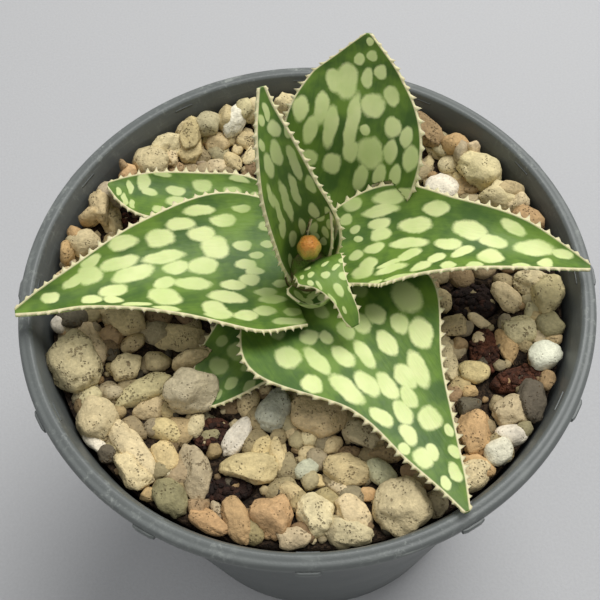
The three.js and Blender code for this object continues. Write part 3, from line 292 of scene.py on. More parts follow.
# Pale spots, in millimetres on the leaf: along it, across it, length, width and tilt in degrees.
SPOTS = {
    "leaf_left": (
        (7.9, 11, 3.6, 1.4, 0), (11.4, 8.9, 4.4, 2.2, 0), (15.1, 11, 5, 1.8, 0), (18.4, 8.9, 4.6, 2.1, 0),
        (22, 6.9, 4.4, 3, 0), (15.4, 6.7, 4.4, 2.6, 0), (27.7, 7.4, 4.5, 2.4, 0), (8.6, 3.9, 3.4, 2, 0),
        (13.6, 3.9, 4.5, 4.2, 0), (22.1, 3.4, 6.4, 2.2, 0), (29.1, 4.1, 6, 2.2, 0), (34.3, 3.5, 4, 3.2, 0),
        (33.6, 5.6, 3.6, 1.6, -20), (37.1, 3.1, 4.4, 1.6, -20), (6.1, 1.9, 2.8, 1.3, 0),
        (16.4, 0.6, 4.6, 3.4, 0), (20.7, 1, 4, 2.4, 0), (27.5, 1.6, 6.5, 2.8, 0), (8.6, 0.1, 4.2, 1.9, 0),
        (41.6, 1.1, 2.9, 1.9, 0), (31.3, -0.6, 4.3, 2.5, 10), (35, -1.1, 3.2, 2, 20),
        (7.1, -1.4, 3.6, 1.6, 0), (8.6, -3.3, 4, 2.5, 0), (12.2, -4.2, 4.6, 2.1, 12),
        (18.9, -2.8, 5.6, 2.6, 15), (23.2, -1.6, 3.6, 2.2, 0), (23.9, -4.9, 5.4, 4, 50),
        (5.9, -6.3, 4.8, 1.8, 0), (13.9, -6.9, 6.4, 2.8, 18), (5, -8.1, 5.6, 1.9, 0),
        (17.1, -9.4, 3.8, 3.8, 0), (7.5, -11, 5, 2.4, 0), (12, -12.1, 4.8, 2.8, 0),
        (16.8, -11.5, 4.4, 3, 0), (1.8, -11.5, 3.6, 2, 0), (3.6, -14, 6.4, 2, 0),
        (31.8, -2.6, 3.4, 1.6, 40), (24.3, -8.6, 4.2, 1.6, 30), (28.6, -5.6, 4.4, 1.4, 20),
        (3, 7.6, 3.2, 1.8, 0), (2.4, -4.4, 3.2, 1.6, 0), (3.4, 4.2, 2.6, 1.4, 0),
    ),
    "leaf_right": (
        (6.8, 6.9, 4.2, 4.2, 0), (7.9, 4.8, 3.6, 3, 0), (13.6, 7.6, 8, 2.4, -12),
        (17.1, 10.9, 6.4, 1.7, -10), (10.7, 11.6, 4.4, 1.5, 0), (12.9, 5.9, 6, 1.3, -15),
        (17.1, 4.1, 4.6, 2.2, -25), (20.7, 7.6, 3.6, 2.8, -50), (22.5, 5.1, 3, 2, -40),
        (25, 7.6, 2.4, 3, 0), (26.6, 3.1, 4.4, 1.8, -40), (9.3, 1.4, 3.8, 2.1, 0),
        (16.4, 1.4, 7.4, 2.1, 0), (23.9, 1.6, 4.7, 2.3, 0), (5.7, 1.7, 2.6, 2, 0),
        (31.4, 3.4, 4, 3.6, -40), (29.3, 6.9, 2.6, 2.6, 0), (10.7, -1.3, 3.6, 2.6, 0),
        (10.6, -3.3, 3.4, 2.1, 0), (17.1, -2.1, 6, 2.8, 0), (6.6, -1.6, 1.4, 1.3, 0),
        (27.1, -1.6, 5.8, 3.2, 10), (31.4, -0.2, 4.4, 2.4, 0), (38.2, -0.6, 6.4, 2.8, -15),
        (42.9, -0.9, 3.6, 1.5, 0), (20.7, -5, 4.6, 2.5, 0), (11.1, -5.7, 5.6, 2, 0),
        (12.9, -7.7, 4.8, 2.6, 0), (7.1, -8.1, 3, 2.4, 0), (5.4, -5.9, 2.2, 1.8, 0),
        (34.3, -3.4, 4.4, 2, 15), (40, 2.3, 3.4, 1.8, -50), (36, 5.1, 3, 2, -50), (6.4, -3.6, 2, 1.4, 0),
    ),
    "leaf_front_right": (
        (11.8, 12.7, 4.2, 4, 0), (17.9, 11.8, 3.4, 3.2, 0), (14.3, 8.7, 5.6, 2.6, -10),
        (20.9, 7.1, 6.6, 3, -15), (9.6, 7.5, 3, 3, 0), (15.5, 4.4, 4.2, 2.7, -20),
        (21.4, 3.6, 5.2, 2.8, -10), (27.5, 4.6, 4.2, 2.4, -20), (33.9, 4.2, 2.4, 1.8, 0), (11, 5, 3, 2, 0),
        (16.8, 1.1, 5.2, 2.3, 0), (11.4, 1.4, 4, 2.4, 0), (23.2, 0.9, 4.8, 2.6, 0),
        (28.2, 1.1, 4.2, 2.6, 0), (32, 2.3, 3.9, 2.3, 0), (36.8, 2.3, 4, 2.8, 0), (36.4, 0.4, 3, 1.8, 0),
        (11.4, -1.6, 4.2, 2.8, 0), (16.8, -3.2, 4.6, 2.8, 5), (23.2, -2.5, 4.4, 3, 0),
        (26.4, -1.1, 3.6, 2.4, 0), (23.2, -5, 6.2, 2.7, 10), (31.1, -2, 4, 3.4, 0),
        (41.3, -1.1, 3.6, 1.7, 0), (42.5, 0.9, 2.6, 1.5, 0), (37.9, -2.5, 2.6, 1.4, 0),
        (11.1, -4.6, 4.2, 3, 0), (14.9, -7, 3.8, 2.6, 15), (18.2, -8.9, 5.2, 3.6, 20),
        (11.4, -10.7, 6.4, 4.4, 0), (34.3, -3.6, 2.4, 1.3, 0), (5, -12, 4, 2.6, 0), (6, 12, 4, 2.4, 0),
        (5, -5, 3.6, 2.4, 0), (5.5, 3, 3.4, 2.2, 0),
    ),
    "leaf_back_right": (
        (8, 9.3, 6, 2, 60), (10.3, 7.5, 6.5, 1.9, 60), (12.4, 8.8, 6, 1.9, 60), (14.2, 11, 3.6, 1.8, 60),
        (5, 6, 1.6, 1.4, 0), (18.9, 10.6, 3, 3.2, 0), (21.4, 8.9, 2.6, 2.4, 0), (16, 8.5, 2.6, 2.2, 0),
        (18.7, 6.5, 3, 2.4, 0), (22.1, 6, 3, 3, 0), (15, 5.5, 3, 2.4, 0), (27.4, 4.8, 3.8, 2.6, -15),
        (17.5, 2.8, 4.2, 4.8, 0), (25, 1.7, 4.4, 4, 0), (31.9, 2.4, 3, 2.2, 0), (20.6, 1.1, 1.7, 1.7, 0),
        (21.4, -1.4, 10.6, 2.3, 0), (16.8, -0.8, 3, 2.8, 0), (13.6, 2.1, 3.4, 2.6, 0),
        (30.3, 0.1, 4, 1.9, 0), (35.4, 0.8, 2.4, 1.8, 0), (34.4, -1.4, 2.6, 1.8, 0), (20, -5.1, 7, 2.4, 0),
        (29.2, -3.4, 7.6, 3.6, 0), (29, -5.4, 5, 3, -15), (14.3, -3.6, 3, 3.2, 0),
        (18.6, -8.5, 4.4, 2.3, 10), (22.9, -7.2, 6.2, 2.4, 0), (22.1, -10.8, 5, 2.6, 0),
        (14.3, -7.9, 3, 2.4, 60), (38.6, 0.4, 1.8, 1.2, 0), (6.1, 2, 2.4, 2, 0),
    ),
    "leaf_upright": (
        (11.4, 2.6, 3.2, 1.5, 0), (17.5, 3.4, 3.6, 1.5, 0), (21.4, 1.9, 5, 1.3, 0),
        (16.8, 0.6, 6.6, 1.2, 0), (23.6, 1.6, 4, 1.3, 0), (28.2, 2.1, 2.2, 1.3, 0),
        (10.7, -3.8, 3, 1.4, 0), (14, -3.2, 8.6, 1, 0), (15.4, -1.3, 8.4, 1.3, 0), (25, -0.6, 4.4, 1.8, 0),
        (23.6, -2.4, 4.4, 1.6, 0), (29.3, 0.1, 3, 1.8, 0), (31.4, -1.6, 2.2, 1.1, 0),
        (27.5, -2.7, 2.2, 1, 0), (18.6, -3.8, 4.4, 1, 0), (7.1, -2, 3, 1.6, 0), (32.5, -0.4, 3, 0.9, 0),
        (3.2, -3.4, 3, 1.2, 0), (8.6, 0.1, 3.6, 1.1, 0), (6.4, 4.4, 3, 1.4, 0), (11, 5, 3, 1.2, 0),
        (4, 1.6, 2.6, 1.2, 0),
    ),
    "leaf_back_left": (
        (7.9, 2.1, 1.8, 2.6, 0), (11.1, 4.6, 3, 1.2, 0), (11.8, 1.9, 3, 2, 0), (17.3, 2.3, 3.6, 2.4, 0),
        (21.8, 0.5, 3.2, 2, 0), (20.7, -2, 4.4, 2.6, 0), (24.6, 3.5, 3, 1.1, 0), (27.9, 1.5, 2.4, 3.6, 0),
        (26.4, -0.4, 2.8, 1.7, 0), (24, -4.7, 2.2, 2.2, 0), (30.7, -3.6, 4, 1.1, 70),
        (30.4, 0, 3, 1.2, 70), (29, -4.4, 3, 1.1, 70), (32.5, -1.5, 2.2, 1, 70), (17, -0.4, 2.8, 1.2, 0),
        (6, -1.4, 3, 1.6, 0), (12, -2.4, 3.4, 1.8, 0), (16.6, -4.4, 3.4, 1.6, 0),
    ),
    "leaf_front_left": (
        (10.2, 5.6, 2.2, 1.8, 0), (9.6, 2.4, 3, 3, 0), (13.6, 2.7, 3, 3.4, 0), (10.1, -0.9, 2.6, 1.6, 0),
        (14.3, -1.2, 2.8, 1.8, 0), (18.4, 2, 3, 2, 0), (18, -1, 2.6, 1.6, 0), (5.4, -3, 3, 2.2, 0),
        (5, 3, 3, 2, 0), (12.4, -4, 2.6, 1.6, 0),
    ),
    "leaf_young_front": (
        (5, 2.1, 1.3, 1.2, 0), (6.9, 0.4, 1.5, 1.5, 0), (8.5, -2, 1.5, 1.3, 0), (10.2, 0, 2, 1.3, 0),
        (6.5, -2, 0.8, 1.8, 0), (6.4, 3.2, 1.5, 0.8, 0), (2.4, 1.6, 1.4, 1.2, 0), (7.8, 2.4, 2, 0.6, 0),
        (4.7, -0.9, 0.7, 1.6, 0), (5.7, -3.7, 1.2, 1.2, 0), (11.1, 1.7, 2.4, 0.5, 0),
        (11, -1.8, 1.2, 0.7, 0), (3.8, 3.6, 1.2, 0.8, 0), (13.4, 0.6, 1.4, 0.6, 0),
    ),
}
# How much duller the spots are at the base of a leaf, and how far along it in millimetres that lasts. This is
# partly painted shade: the dimming stands in for the shade at the heart of the rosette and on leaves that lie
# low in shade, such as the front-left one.
SPOT_DULL_AND_SHADE = {
    "leaf_front_right": (0.6, 15), "leaf_front_left": (0.6, 60),
    "leaf_back_right": (0.4, 17), "leaf_left": (0.5, 12),
    "leaf_upright": (0.3, 60), "leaf_right": (0.3, 12), "leaf_back_left": (0.25, 60),
}
SPOT_GROWTH = 1.06
# Leaves shorter than this are young: they get smaller spots and a broader pale margin.
YOUNG_LENGTH = 20.0
TOOTH_PITCH = 1.75
TOOTH_HEIGHT = 0.95
TOOTH_PEAK = 0.78
EDGE_THICKNESS = 0.7
TIP_THICKNESS = 0.9

BUD_MIDDLE = (1.1, 1.3, 100.4)
BUD_RADIUS = 2.0
BUD_HALF_LENGTH = 2.9
BUD_TILT = 12.0


def linear(colour):
    """A colour as it looks, 0 to 255, in Blender's linear values."""
    share = [c / 255 for c in colour]
    return tuple(s / 12.92 if s <= 0.04045 else ((s + 0.055) / 1.055) ** 2.4 for s in share)


def look(colour, name, description):
    return FloatVectorProperty(
        name=name, description=description, subtype="COLOR", size=3, min=0, max=1, default=linear(colour))


def length(value, name, description, low=0.0, high=1.0):
    return FloatProperty(
        name=name, description=description, default=value * MM, min=low, max=high, unit="LENGTH", precision=4)


class PotSettings(bpy.types.PropertyGroup):
    sides: IntProperty(name="Sides", description="Facets round the pot", default=180, min=24, max=360)
    rim_roundness: length(0.35, "Rim roundness", "Radius of the rim's corners", 0.0, 0.002)
    plastic: look((82, 86, 85), "Plastic", "Colour of the moulded plastic")
    scuff: look((172, 176, 168), "Scuffs", "Colour of rubbed and dusty places")


class GravelSettings(bpy.types.PropertyGroup):
    grit_count: IntProperty(
        name="Grit", description="Small crumbs among the stones", default=420, min=0, max=900)
    fill_pitch: length(4.4, "Fill pitch", "Spacing of the lower stones", 0.003, 0.02)
    # The bed's colour is partly painted shade: it is dark to stand in for the shade in the gaps between the
    # stones.
    bed_dust_and_shade: look((66, 52, 38), "Bed", "Colour of the fine bed between the stones")
    # Painted shade: the pores are coloured darker for the shade inside them.
    pore_shade: look((108, 86, 56), "Pores", "Colour in the pores of the pumice")


class SoilSettings(bpy.types.PropertyGroup):
    dark: look((34, 24, 19), "Damp soil", "Darkest colour of the potting mix")
    warm: look((104, 62, 42), "Dry crumbs", "Colour of the dry reddish crumbs")
    crumbs: IntProperty(name="Crumbs", description="Crumbs on each bare patch", default=46, min=0, max=200)


class LeafSettings(bpy.types.PropertyGroup):
    station: length(0.24, "Station", "Spacing of the mesh along a leaf", 0.0001, 0.002)
    columns: IntProperty(
        name="Columns", description="Mesh columns across the upper face", default=96, min=8, max=160)
    deep: look((70, 100, 40), "Deep green", "Darker green of the leaves")
    fresh: look((110, 140, 52), "Fresh green", "Lighter green of the leaves")
    spot: look((222, 230, 162), "Spots", "Colour of the pale spots")
    margin: look((222, 213, 168), "Margin", "Colour of the margins and teeth")


class HeartSettings(bpy.types.PropertyGroup):
    foot: look((160, 162, 66), "Foot", "Colour low on the bud")
    side: look((200, 166, 76), "Side", "Colour half way up the bud")
    top: look((212, 142, 62), "Top", "Colour of the bud's top")
    fleck: look((150, 92, 40), "Flecks", "Colour of the bud's darker flecks")
    bark: look((150, 132, 92), "Bark", "Dry colour of the stem")
    tissue: look((110, 140, 52), "Tissue", "Live colour of the stem")


class StageSettings(bpy.types.PropertyGroup):
    backdrop: look((190, 190, 190), "Table", "Colour of the plain surface")
    key_power: FloatProperty(
        name="Key light", description="Power of the large soft light", default=5.3, min=0, max=100,
        unit="POWER")


def smooth_rows(rows, places, column):
    """Smooth curve through rows (place, a, b...), read at an array of places."""
    rows = np.array(rows, float)
    last = len(rows) - 1
    where = np.clip(np.searchsorted(rows[:, 0], places, side="right") - 1, 0, last - 1)
    slopes = np.empty(last + 1)
    for k in range(last + 1):
        a, b = max(k - 1, 0), min(k + 1, last)
        slopes[k] = (rows[b, column] - rows[a, column]) / (rows[b, 0] - rows[a, 0])
    span = rows[where + 1, 0] - rows[where, 0]
    f = (np.clip(places, rows[0, 0], rows[-1, 0]) - rows[where, 0]) / span
    return (rows[where, column] * (2 * f**3 - 3 * f**2 + 1) + slopes[where] * span * (f**3 - 2 * f**2 + f)
            + rows[where + 1, column] * (3 * f**2 - 2 * f**3) + slopes[where + 1] * span * (f**3 - f**2))


def midrib_points(points, places):
    """Smooth line through the midrib points, evenly spaced by point number."""
    p = np.array(points, float)
    last = len(p) - 1
    at = np.clip(np.asarray(places, float) * last, 0, last)
    i = np.minimum(at.astype(int), last - 1)
    f = (at - i)[:, None]
    before = np.where((i > 0)[:, None], p[np.maximum(i - 1, 0)], 2 * p[0] - p[1])
    after = np.where((i < last - 1)[:, None], p[np.minimum(i + 2, last)], 2 * p[last] - p[last - 1])
    a, b = p[i], p[i + 1]
    return 0.5 * (2 * a + (b - before) * f + (2 * before - 5 * a + 4 * b - after) * f**2
                  + (3 * a - before - 3 * b + after) * f**3)


class LeafForm:
    """The smooth form of one leaf, the same as the CAD leaf's."""

    def __init__(self, leaf):
        self.leaf = leaf
        self.length = float(np.linalg.norm(
            np.diff(midrib_points(leaf["midrib"], np.linspace(0, 1, 200)), axis=0), axis=1).sum())

    def place(self, t, across, depth, extra=0.0, shift=0.0):
        """Points in millimetres: t and the others are arrays that broadcast to (stations, columns)."""
        t = np.asarray(t, float)
        step = 1e-3
        centre = midrib_points(self.leaf["midrib"], t)
        along = (midrib_points(self.leaf["midrib"], np.minimum(t + step, 1))
                 - midrib_points(self.leaf["midrib"], np.maximum(t - step, 0)))
        along /= np.linalg.norm(along, axis=1)[:, None]
        centre = centre + along * np.broadcast_to(shift, t.shape)[:, None]
        heading = math.radians(self.leaf["heading"])
        side = np.array([math.sin(heading), -math.cos(heading), 0.0])
        side = side - along * (along @ side)[:, None]
        side /= np.linalg.norm(side, axis=1)[:, None]
        up = np.cross(side, along)
        across, depth, extra = np.broadcast_arrays(across, depth, extra)
        half = self.half_width(t, across) + extra
        angle = np.radians(smooth_rows(self.leaf["channel"], t, 1))[:, None]
        turn = angle * np.clip(across, -1, 1)
        radius = half / angle
        sideways = radius * np.sin(turn) + depth * np.sin(turn)
        upward = radius * (1 - np.cos(turn)) - depth * np.cos(turn)
        return (centre[:, None, :] + side[:, None, :] * sideways[..., None]
                + up[:, None, :] * upward[..., None])

    def half_width(self, t, across):
        left = smooth_rows(self.leaf["half"], t, 1)[:, None]
        right = smooth_rows(self.leaf["half"], t, 2)[:, None]
        return np.where(across < 0, left, right)

    def rib(self, t):
        start = self.leaf["thickness"]
        return (start + (TIP_THICKNESS - start) * np.asarray(t) ** 1.4)[:, None]


def tooth_line(form, t, draw):
    """Height of the toothed margin along one side of a leaf, in millimetres."""
    count = max(2, round(form.length / TOOTH_PITCH))
    height = np.full(len(t), 0.06)
    for i in range(count):
        peak = (i + TOOTH_PEAK + 0.12 * (draw.random() - 0.5)) / count
        tall = form.leaf["tooth"] * TOOTH_HEIGHT * (0.75 + 0.5 * draw.random()) * 1.15
        tall *= min(1.0, 0.35 + 5 * (1 - peak))
        rise, fall = 0.4 / count, 0.16 / count
        gap = t - peak
        shape = np.where(gap < 0, 1 + gap / rise, 1 - gap / fall)
        height = np.maximum(height, tall * np.clip(shape, 0, 1) ** 1.3)
    return height


def metres(vertices):
    return [(x * MM, y * MM, z * MM) for x, y, z in vertices]


def tube_faces(rings, columns):
    """Faces of a body made of rings that follow each other, closed at both ends."""
    faces = []
    for i in range(rings - 1):
        for k in range(columns):
            a, b = i * columns + k, i * columns + (k + 1) % columns
            faces.append((a, b, b + columns, a + columns))
    faces.append(tuple(reversed(range(columns))))
    faces.append(tuple((rings - 1) * columns + k for k in range(columns)))
    return faces


def smooth_shading(mesh):
    mesh.polygons.foreach_set("use_smooth", [True] * len(mesh.polygons))


def new_mesh(name, vertices, faces):
    mesh = bpy.data.meshes.new(name)
    mesh.from_pydata([tuple(v) for v in vertices], [], [tuple(f) for f in faces])
    mesh.validate()
    mesh.update()
    smooth_shading(mesh)
    return mesh


def set_floats(mesh, name, values):
    layer = mesh.attributes.new(name, "FLOAT", "POINT")
    layer.data.foreach_set("value", np.asarray(values, np.float32).ravel())


def set_vectors(mesh, name, values):
    layer = mesh.attributes.new(name, "FLOAT_VECTOR", "POINT")
    layer.data.foreach_set("vector", np.asarray(values, np.float32).ravel())


def show(mesh, name, material, slot, *nodes):
    """Puts a mesh in the scene as a piece of the object, in place of CAD nodes."""
    piece = bpy.data.objects.new(name, mesh)
    bpy.context.scene.collection.objects.link(piece)
    mesh.materials.clear()
    mesh.materials.append(material)
    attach(piece, ROOT)
    if nodes:
        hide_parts(*nodes)


# Shader building blocks


def add(tree, kind, links=None, **settings):
    """A shader node whose settings and inputs are given by name or number."""
    node = tree.nodes.new(kind)
    for key, value in settings.items():
        setattr(node, key, value)
    for key, value in (links or {}).items():
        socket = node.inputs[key]
        if isinstance(value, bpy.types.NodeSocket):
            tree.links.new(value, socket)
        else:
            socket.default_value = value
    return node


def new_group(name, inputs, outputs):
    tree = bpy.data.node_groups.new(name, "ShaderNodeTree")
    for label, kind, value in inputs:
        socket = tree.interface.new_socket(name=label, in_out="INPUT", socket_type=kind)
        if value is not None:
            socket.default_value = value
    for label, kind in outputs:
        tree.interface.new_socket(name=label, in_out="OUTPUT", socket_type=kind)
    return tree, tree.nodes.new("NodeGroupInput"), tree.nodes.new("NodeGroupOutput")


def use_group(tree, name, links):
    return add(tree, "ShaderNodeGroup", links, node_tree=bpy.data.node_groups[name])


def mix(tree, factor, a, b):
    """Colour between two others, each a socket or three values."""
    a, b = (c if isinstance(c, bpy.types.NodeSocket) else (*c[:3], 1) for c in (a, b))
    return add(tree, "ShaderNodeMix", {0: factor, 6: a, 7: b}, data_type="RGBA").outputs[2]


def ramp(tree, value, low, high, to_low=0.0, to_high=1.0, style="SMOOTHSTEP"):
    ends = {"Value": value, "From Min": low, "From Max": high, "To Min": to_low, "To Max": to_high}
    return add(tree, "ShaderNodeMapRange", ends, interpolation_type=style).outputs["Result"]


def clouds(tree, vector, scale, detail, roughness=0.5):
    """Value of a soft noise."""
    fields = {"Vector": vector, "Scale": scale, "Detail": detail, "Roughness": roughness}
    return add(tree, "ShaderNodeTexNoise", fields).outputs[0]


def reading(tree, name, output="Fac"):
    """A value that the mesh carries."""
    return add(tree, "ShaderNodeAttribute", attribute_name=name).outputs[output]


def swing(tree, value, amount):
    """A noise about zero."""
    return calc(tree, "MULTIPLY", calc(tree, "SUBTRACT", value, 0.5), amount)


def even(tree, value, to_low, to_high):
    """The middle of a noise spread evenly over a range."""
    return ramp(tree, value, 0.2, 0.8, to_low, to_high, "LINEAR")


def calc(tree, operation, a, b):
    return add(tree, "ShaderNodeMath", {0: a, 1: b}, operation=operation).outputs[0]


def build_groups():
    """The effects that several materials share."""
    vector, number = "NodeSocketVector", "NodeSocketFloat"
    # Mottling: slow and fine changes of tone.
    tree, given, result = new_group(
        "Mottle", [("Vector", vector, None), ("Size", number, 200.0), ("Grain", number, 2000.0)],
        [("Slow", number), ("Fine", number)])
    here = given.outputs["Vector"]
    tree.links.new(clouds(tree, here, given.outputs["Size"], 3.0, 0.55), result.inputs["Slow"])
    tree.links.new(clouds(tree, here, given.outputs["Grain"], 2.0, 0.6), result.inputs["Fine"])

    # Pits: small round hollows scattered over stone and crumbs.
    tree, given, result = new_group(
        "Pits", [("Vector", vector, None), ("Size", number, 900.0), ("Amount", number, 0.5)],
        [("Pit", number)])
    here = given.outputs["Vector"]
    crowding = ramp(tree, clouds(tree, here, 500.0, 2.0), 0.4, 0.65, 0.0, 0.42)
    cells = add(tree, "ShaderNodeTexVoronoi", {"Vector": here, "Scale": given.outputs["Size"],
                                               "Randomness": 1.0}, feature="F1")
    reach = calc(tree, "MULTIPLY", given.outputs["Amount"], crowding)
    depth = calc(tree, "SUBTRACT", reach, cells.outputs["Distance"])
    tree.links.new(ramp(tree, depth, 0.0, 0.16), result.inputs["Pit"])

    # Scuffs: rubbed streaks and dust.
    tree, given, result = new_group(
        "Scuffs", [("Vector", vector, None), ("Amount", number, 0.5), ("Stretch", vector, None)],
        [("Scuff", number)])
    here = given.outputs["Vector"]
    stretched = add(tree, "ShaderNodeVectorMath", {0: here, 1: given.outputs["Stretch"]},
                    operation="MULTIPLY").outputs[0]
    streak = ramp(tree, clouds(tree, stretched, 1.0, 5.0, 0.7), 0.52, 0.72)
    patch = ramp(tree, clouds(tree, here, 60.0, 2.0), 0.35, 0.65)
    both = calc(tree, "MULTIPLY", streak, patch)
    tree.links.new(calc(tree, "MULTIPLY", both, given.outputs["Amount"]), result.inputs["Scuff"])


def begin_material(name, **fixed):
    """A material with its own Principled shader, whose constant values are set on it."""
    material = bpy.data.materials.new(name)
    material.use_nodes = True
    tree = material.node_tree
    shader = tree.nodes["Principled BSDF"]
    for key, value in fixed.items():
        shader.inputs[key.replace("_", " ")].default_value = value
    return material, tree, shader


def finish_surface(tree, shader, colour, roughness, height, distance, strength=1.0):
    tree.links.new(colour, shader.inputs["Base Color"])
    tree.links.new(roughness, shader.inputs["Roughness"])
    bump = add(tree, "ShaderNodeBump", {"Strength": strength, "Distance": distance, "Height": height})
    tree.links.new(bump.outputs[0], shader.inputs["Normal"])


def leaf_material(settings):
    material, tree, shader = begin_material(
        "aloe_leaf", Specular_IOR_Level=0.3, Subsurface_Weight=0.12, Subsurface_Scale=0.0015)
    shader.inputs["Subsurface Radius"].default_value = (0.6, 1.0, 0.3)
    run = reading(tree, "run", "Vector")
    spot = reading(tree, "spot")
    edge = reading(tree, "edge")
    spot_dull_and_shade = reading(tree, "spot_dull_and_shade")
    mottle = use_group(tree, "Mottle", {"Vector": run, "Size": 0.16, "Grain": 1.8})
    streaks = add(tree, "ShaderNodeVectorMath", {0: run, 1: (0.3, 1.6, 1.0)}, operation="MULTIPLY")
    fibres = clouds(tree, streaks.outputs[0], 1.0, 3.0)
    tone = calc(tree, "ADD", calc(tree, "MULTIPLY", mottle.outputs["Slow"], 0.84),
                calc(tree, "MULTIPLY", fibres, 0.16))
    green = mix(tree, ramp(tree, tone, 0.34, 0.66), settings.deep, settings.fresh)
    ragged = calc(tree, "ADD", spot, swing(tree, mottle.outputs["Fine"], 0.16))
    pale = mix(tree, ramp(tree, mottle.outputs["Slow"], 0.35, 0.7), settings.spot,
               tuple(c * f for c, f in zip(settings.spot, (0.84, 0.9, 0.78))))
    # Partly painted shade: the spots are dimmed where the leaves lie in shade.
    strength = calc(tree, "MULTIPLY", ramp(tree, ragged, 0.36, 0.64), calc(tree, "SUBTRACT", 1.0, spot_dull_and_shade))
    colour = mix(tree, strength, green, pale)
    colour = mix(tree, ramp(tree, edge, 0.34, 0.06), colour, settings.margin)
    roughness = even(tree, mottle.outputs["Fine"], 0.44, 0.58)
    height = calc(tree, "ADD", calc(tree, "MULTIPLY", fibres, 0.35),
                  calc(tree, "MULTIPLY", spot, 0.4))
    finish_surface(tree, shader, colour, roughness, height, 0.00025, 0.6)
    return material


def stone_material(settings):
    material, tree, shader = begin_material("pumice_stone", Specular_IOR_Level=0.25)
    here = add(tree, "ShaderNodeTexCoord").outputs["Object"]
    tone = reading(tree, "tone", "Vector")
    porous = reading(tree, "porous")
    mottle = use_group(tree, "Mottle", {"Vector": here, "Size": 330.0, "Grain": 1700.0})
    coarse = use_group(tree, "Pits", {"Vector": here, "Size": 950.0, "Amount": porous})
    more = calc(tree, "ADD", porous, 0.45)
    small = use_group(tree, "Pits", {"Vector": here, "Size": 2000.0, "Amount": more})
    pit = calc(tree, "MAXIMUM", coarse.outputs[0], calc(tree, "MULTIPLY", small.outputs[0], 0.9))
    light = calc(tree, "ADD", ramp(tree, mottle.outputs["Slow"], 0.25, 0.75, 0.78, 1.16, "LINEAR"),
                 ramp(tree, mottle.outputs["Fine"], 0.25, 0.75, -0.2, 0.2, "LINEAR"))
    scaled = add(tree, "ShaderNodeVectorMath", {0: tone, "Scale": light}, operation="SCALE")
    # Painted shade: the pits are darkened towards the pore colour for the shade in these hollows.
    colour = mix(tree, calc(tree, "MULTIPLY", pit, 0.6), scaled.outputs[0], settings.pore_shade)
    roughness = even(tree, mottle.outputs["Fine"], 0.78, 0.95)
    height = calc(tree, "SUBTRACT", calc(tree, "MULTIPLY", mottle.outputs["Fine"], 0.5), pit)
    finish_surface(tree, shader, colour, roughness, height, 0.0005, 0.85)
    return material


def bed_material(settings):
    material, tree, shader = begin_material("fine_bed", Specular_IOR_Level=0.2)
    here = add(tree, "ShaderNodeTexCoord").outputs["Object"]
    mottle = use_group(tree, "Mottle", {"Vector": here, "Size": 420.0, "Grain": 1500.0})
    pits = use_group(tree, "Pits", {"Vector": here, "Size": 1300.0, "Amount": 1.0})
    # Partly painted shade: the dark bed and its darker patches stand in for the shade between the stones.
    dark = tuple(c * 0.22 for c in settings.bed_dust_and_shade)
    colour = mix(tree, ramp(tree, mottle.outputs["Fine"], 0.4, 0.62), dark, settings.bed_dust_and_shade)
    colour = mix(tree, ramp(tree, mottle.outputs["Slow"], 0.45, 0.7), colour, dark)
    roughness = even(tree, mottle.outputs["Fine"], 0.85, 0.98)
    height = calc(tree, "SUBTRACT", mottle.outputs["Fine"], pits.outputs[0])
    finish_surface(tree, shader, colour, roughness, height, 0.0006)
    return material


def soil_material(settings):
    material, tree, shader = begin_material("potting_mix", Specular_IOR_Level=0.3)
    here = add(tree, "ShaderNodeTexCoord").outputs["Object"]
    dry = reading(tree, "dry")
    mottle = use_group(tree, "Mottle", {"Vector": here, "Size": 600.0, "Grain": 2600.0})
    pits = use_group(tree, "Pits", {"Vector": here, "Size": 1600.0, "Amount": 0.8})
    share = calc(tree, "MULTIPLY", ramp(tree, mottle.outputs["Slow"], 0.35, 0.65, 0.35, 1.0), dry)
    colour = mix(tree, share, settings.dark, settings.warm)
    # Painted shade: the small hollows are darkened towards the damp soil colour for the shade in them.
    colour = mix(tree, calc(tree, "MULTIPLY", pits.outputs[0], 0.7), colour, settings.dark)
    roughness = even(tree, mottle.outputs["Fine"], 0.8, 0.98)
    height = calc(tree, "SUBTRACT", mottle.outputs["Fine"], pits.outputs[0])
    finish_surface(tree, shader, colour, roughness, height, 0.0005)
    return material


def pot_material(settings):
    material, tree, shader = begin_material("moulded_plastic", Specular_IOR_Level=0.45)
    here = add(tree, "ShaderNodeTexCoord").outputs["Object"]
    rub = reading(tree, "rub")
    mottle = use_group(tree, "Mottle", {"Vector": here, "Size": 55.0, "Grain": 2400.0})
    hoops = use_group(tree, "Scuffs", {"Vector": here, "Amount": 1.0, "Stretch": (150.0, 150.0, 1600.0)})
    flecks = use_group(tree, "Scuffs", {"Vector": here, "Amount": 1.0, "Stretch": (900.0, 900.0, 500.0)})
    rubbed = calc(tree, "MULTIPLY", calc(tree, "ADD", hoops.outputs[0], flecks.outputs[0]), rub)
    tone = mix(tree, ramp(tree, mottle.outputs["Slow"], 0.3, 0.7), tuple(c * 0.92 for c in settings.plastic),
               tuple(min(1, c * 1.1) for c in settings.plastic))
    dusty = calc(tree, "ADD", calc(tree, "MULTIPLY", rubbed, 0.5), calc(tree, "MULTIPLY", rub, 0.13))
    colour = mix(tree, dusty, tone, settings.scuff)
    roughness = calc(tree, "ADD", ramp(tree, mottle.outputs["Slow"], 0.3, 0.7, 0.4, 0.52, "LINEAR"),
                     calc(tree, "MULTIPLY", rubbed, 0.25))
    finish_surface(tree, shader, colour, roughness, mottle.outputs["Fine"], 0.00006, 0.5)
    return material


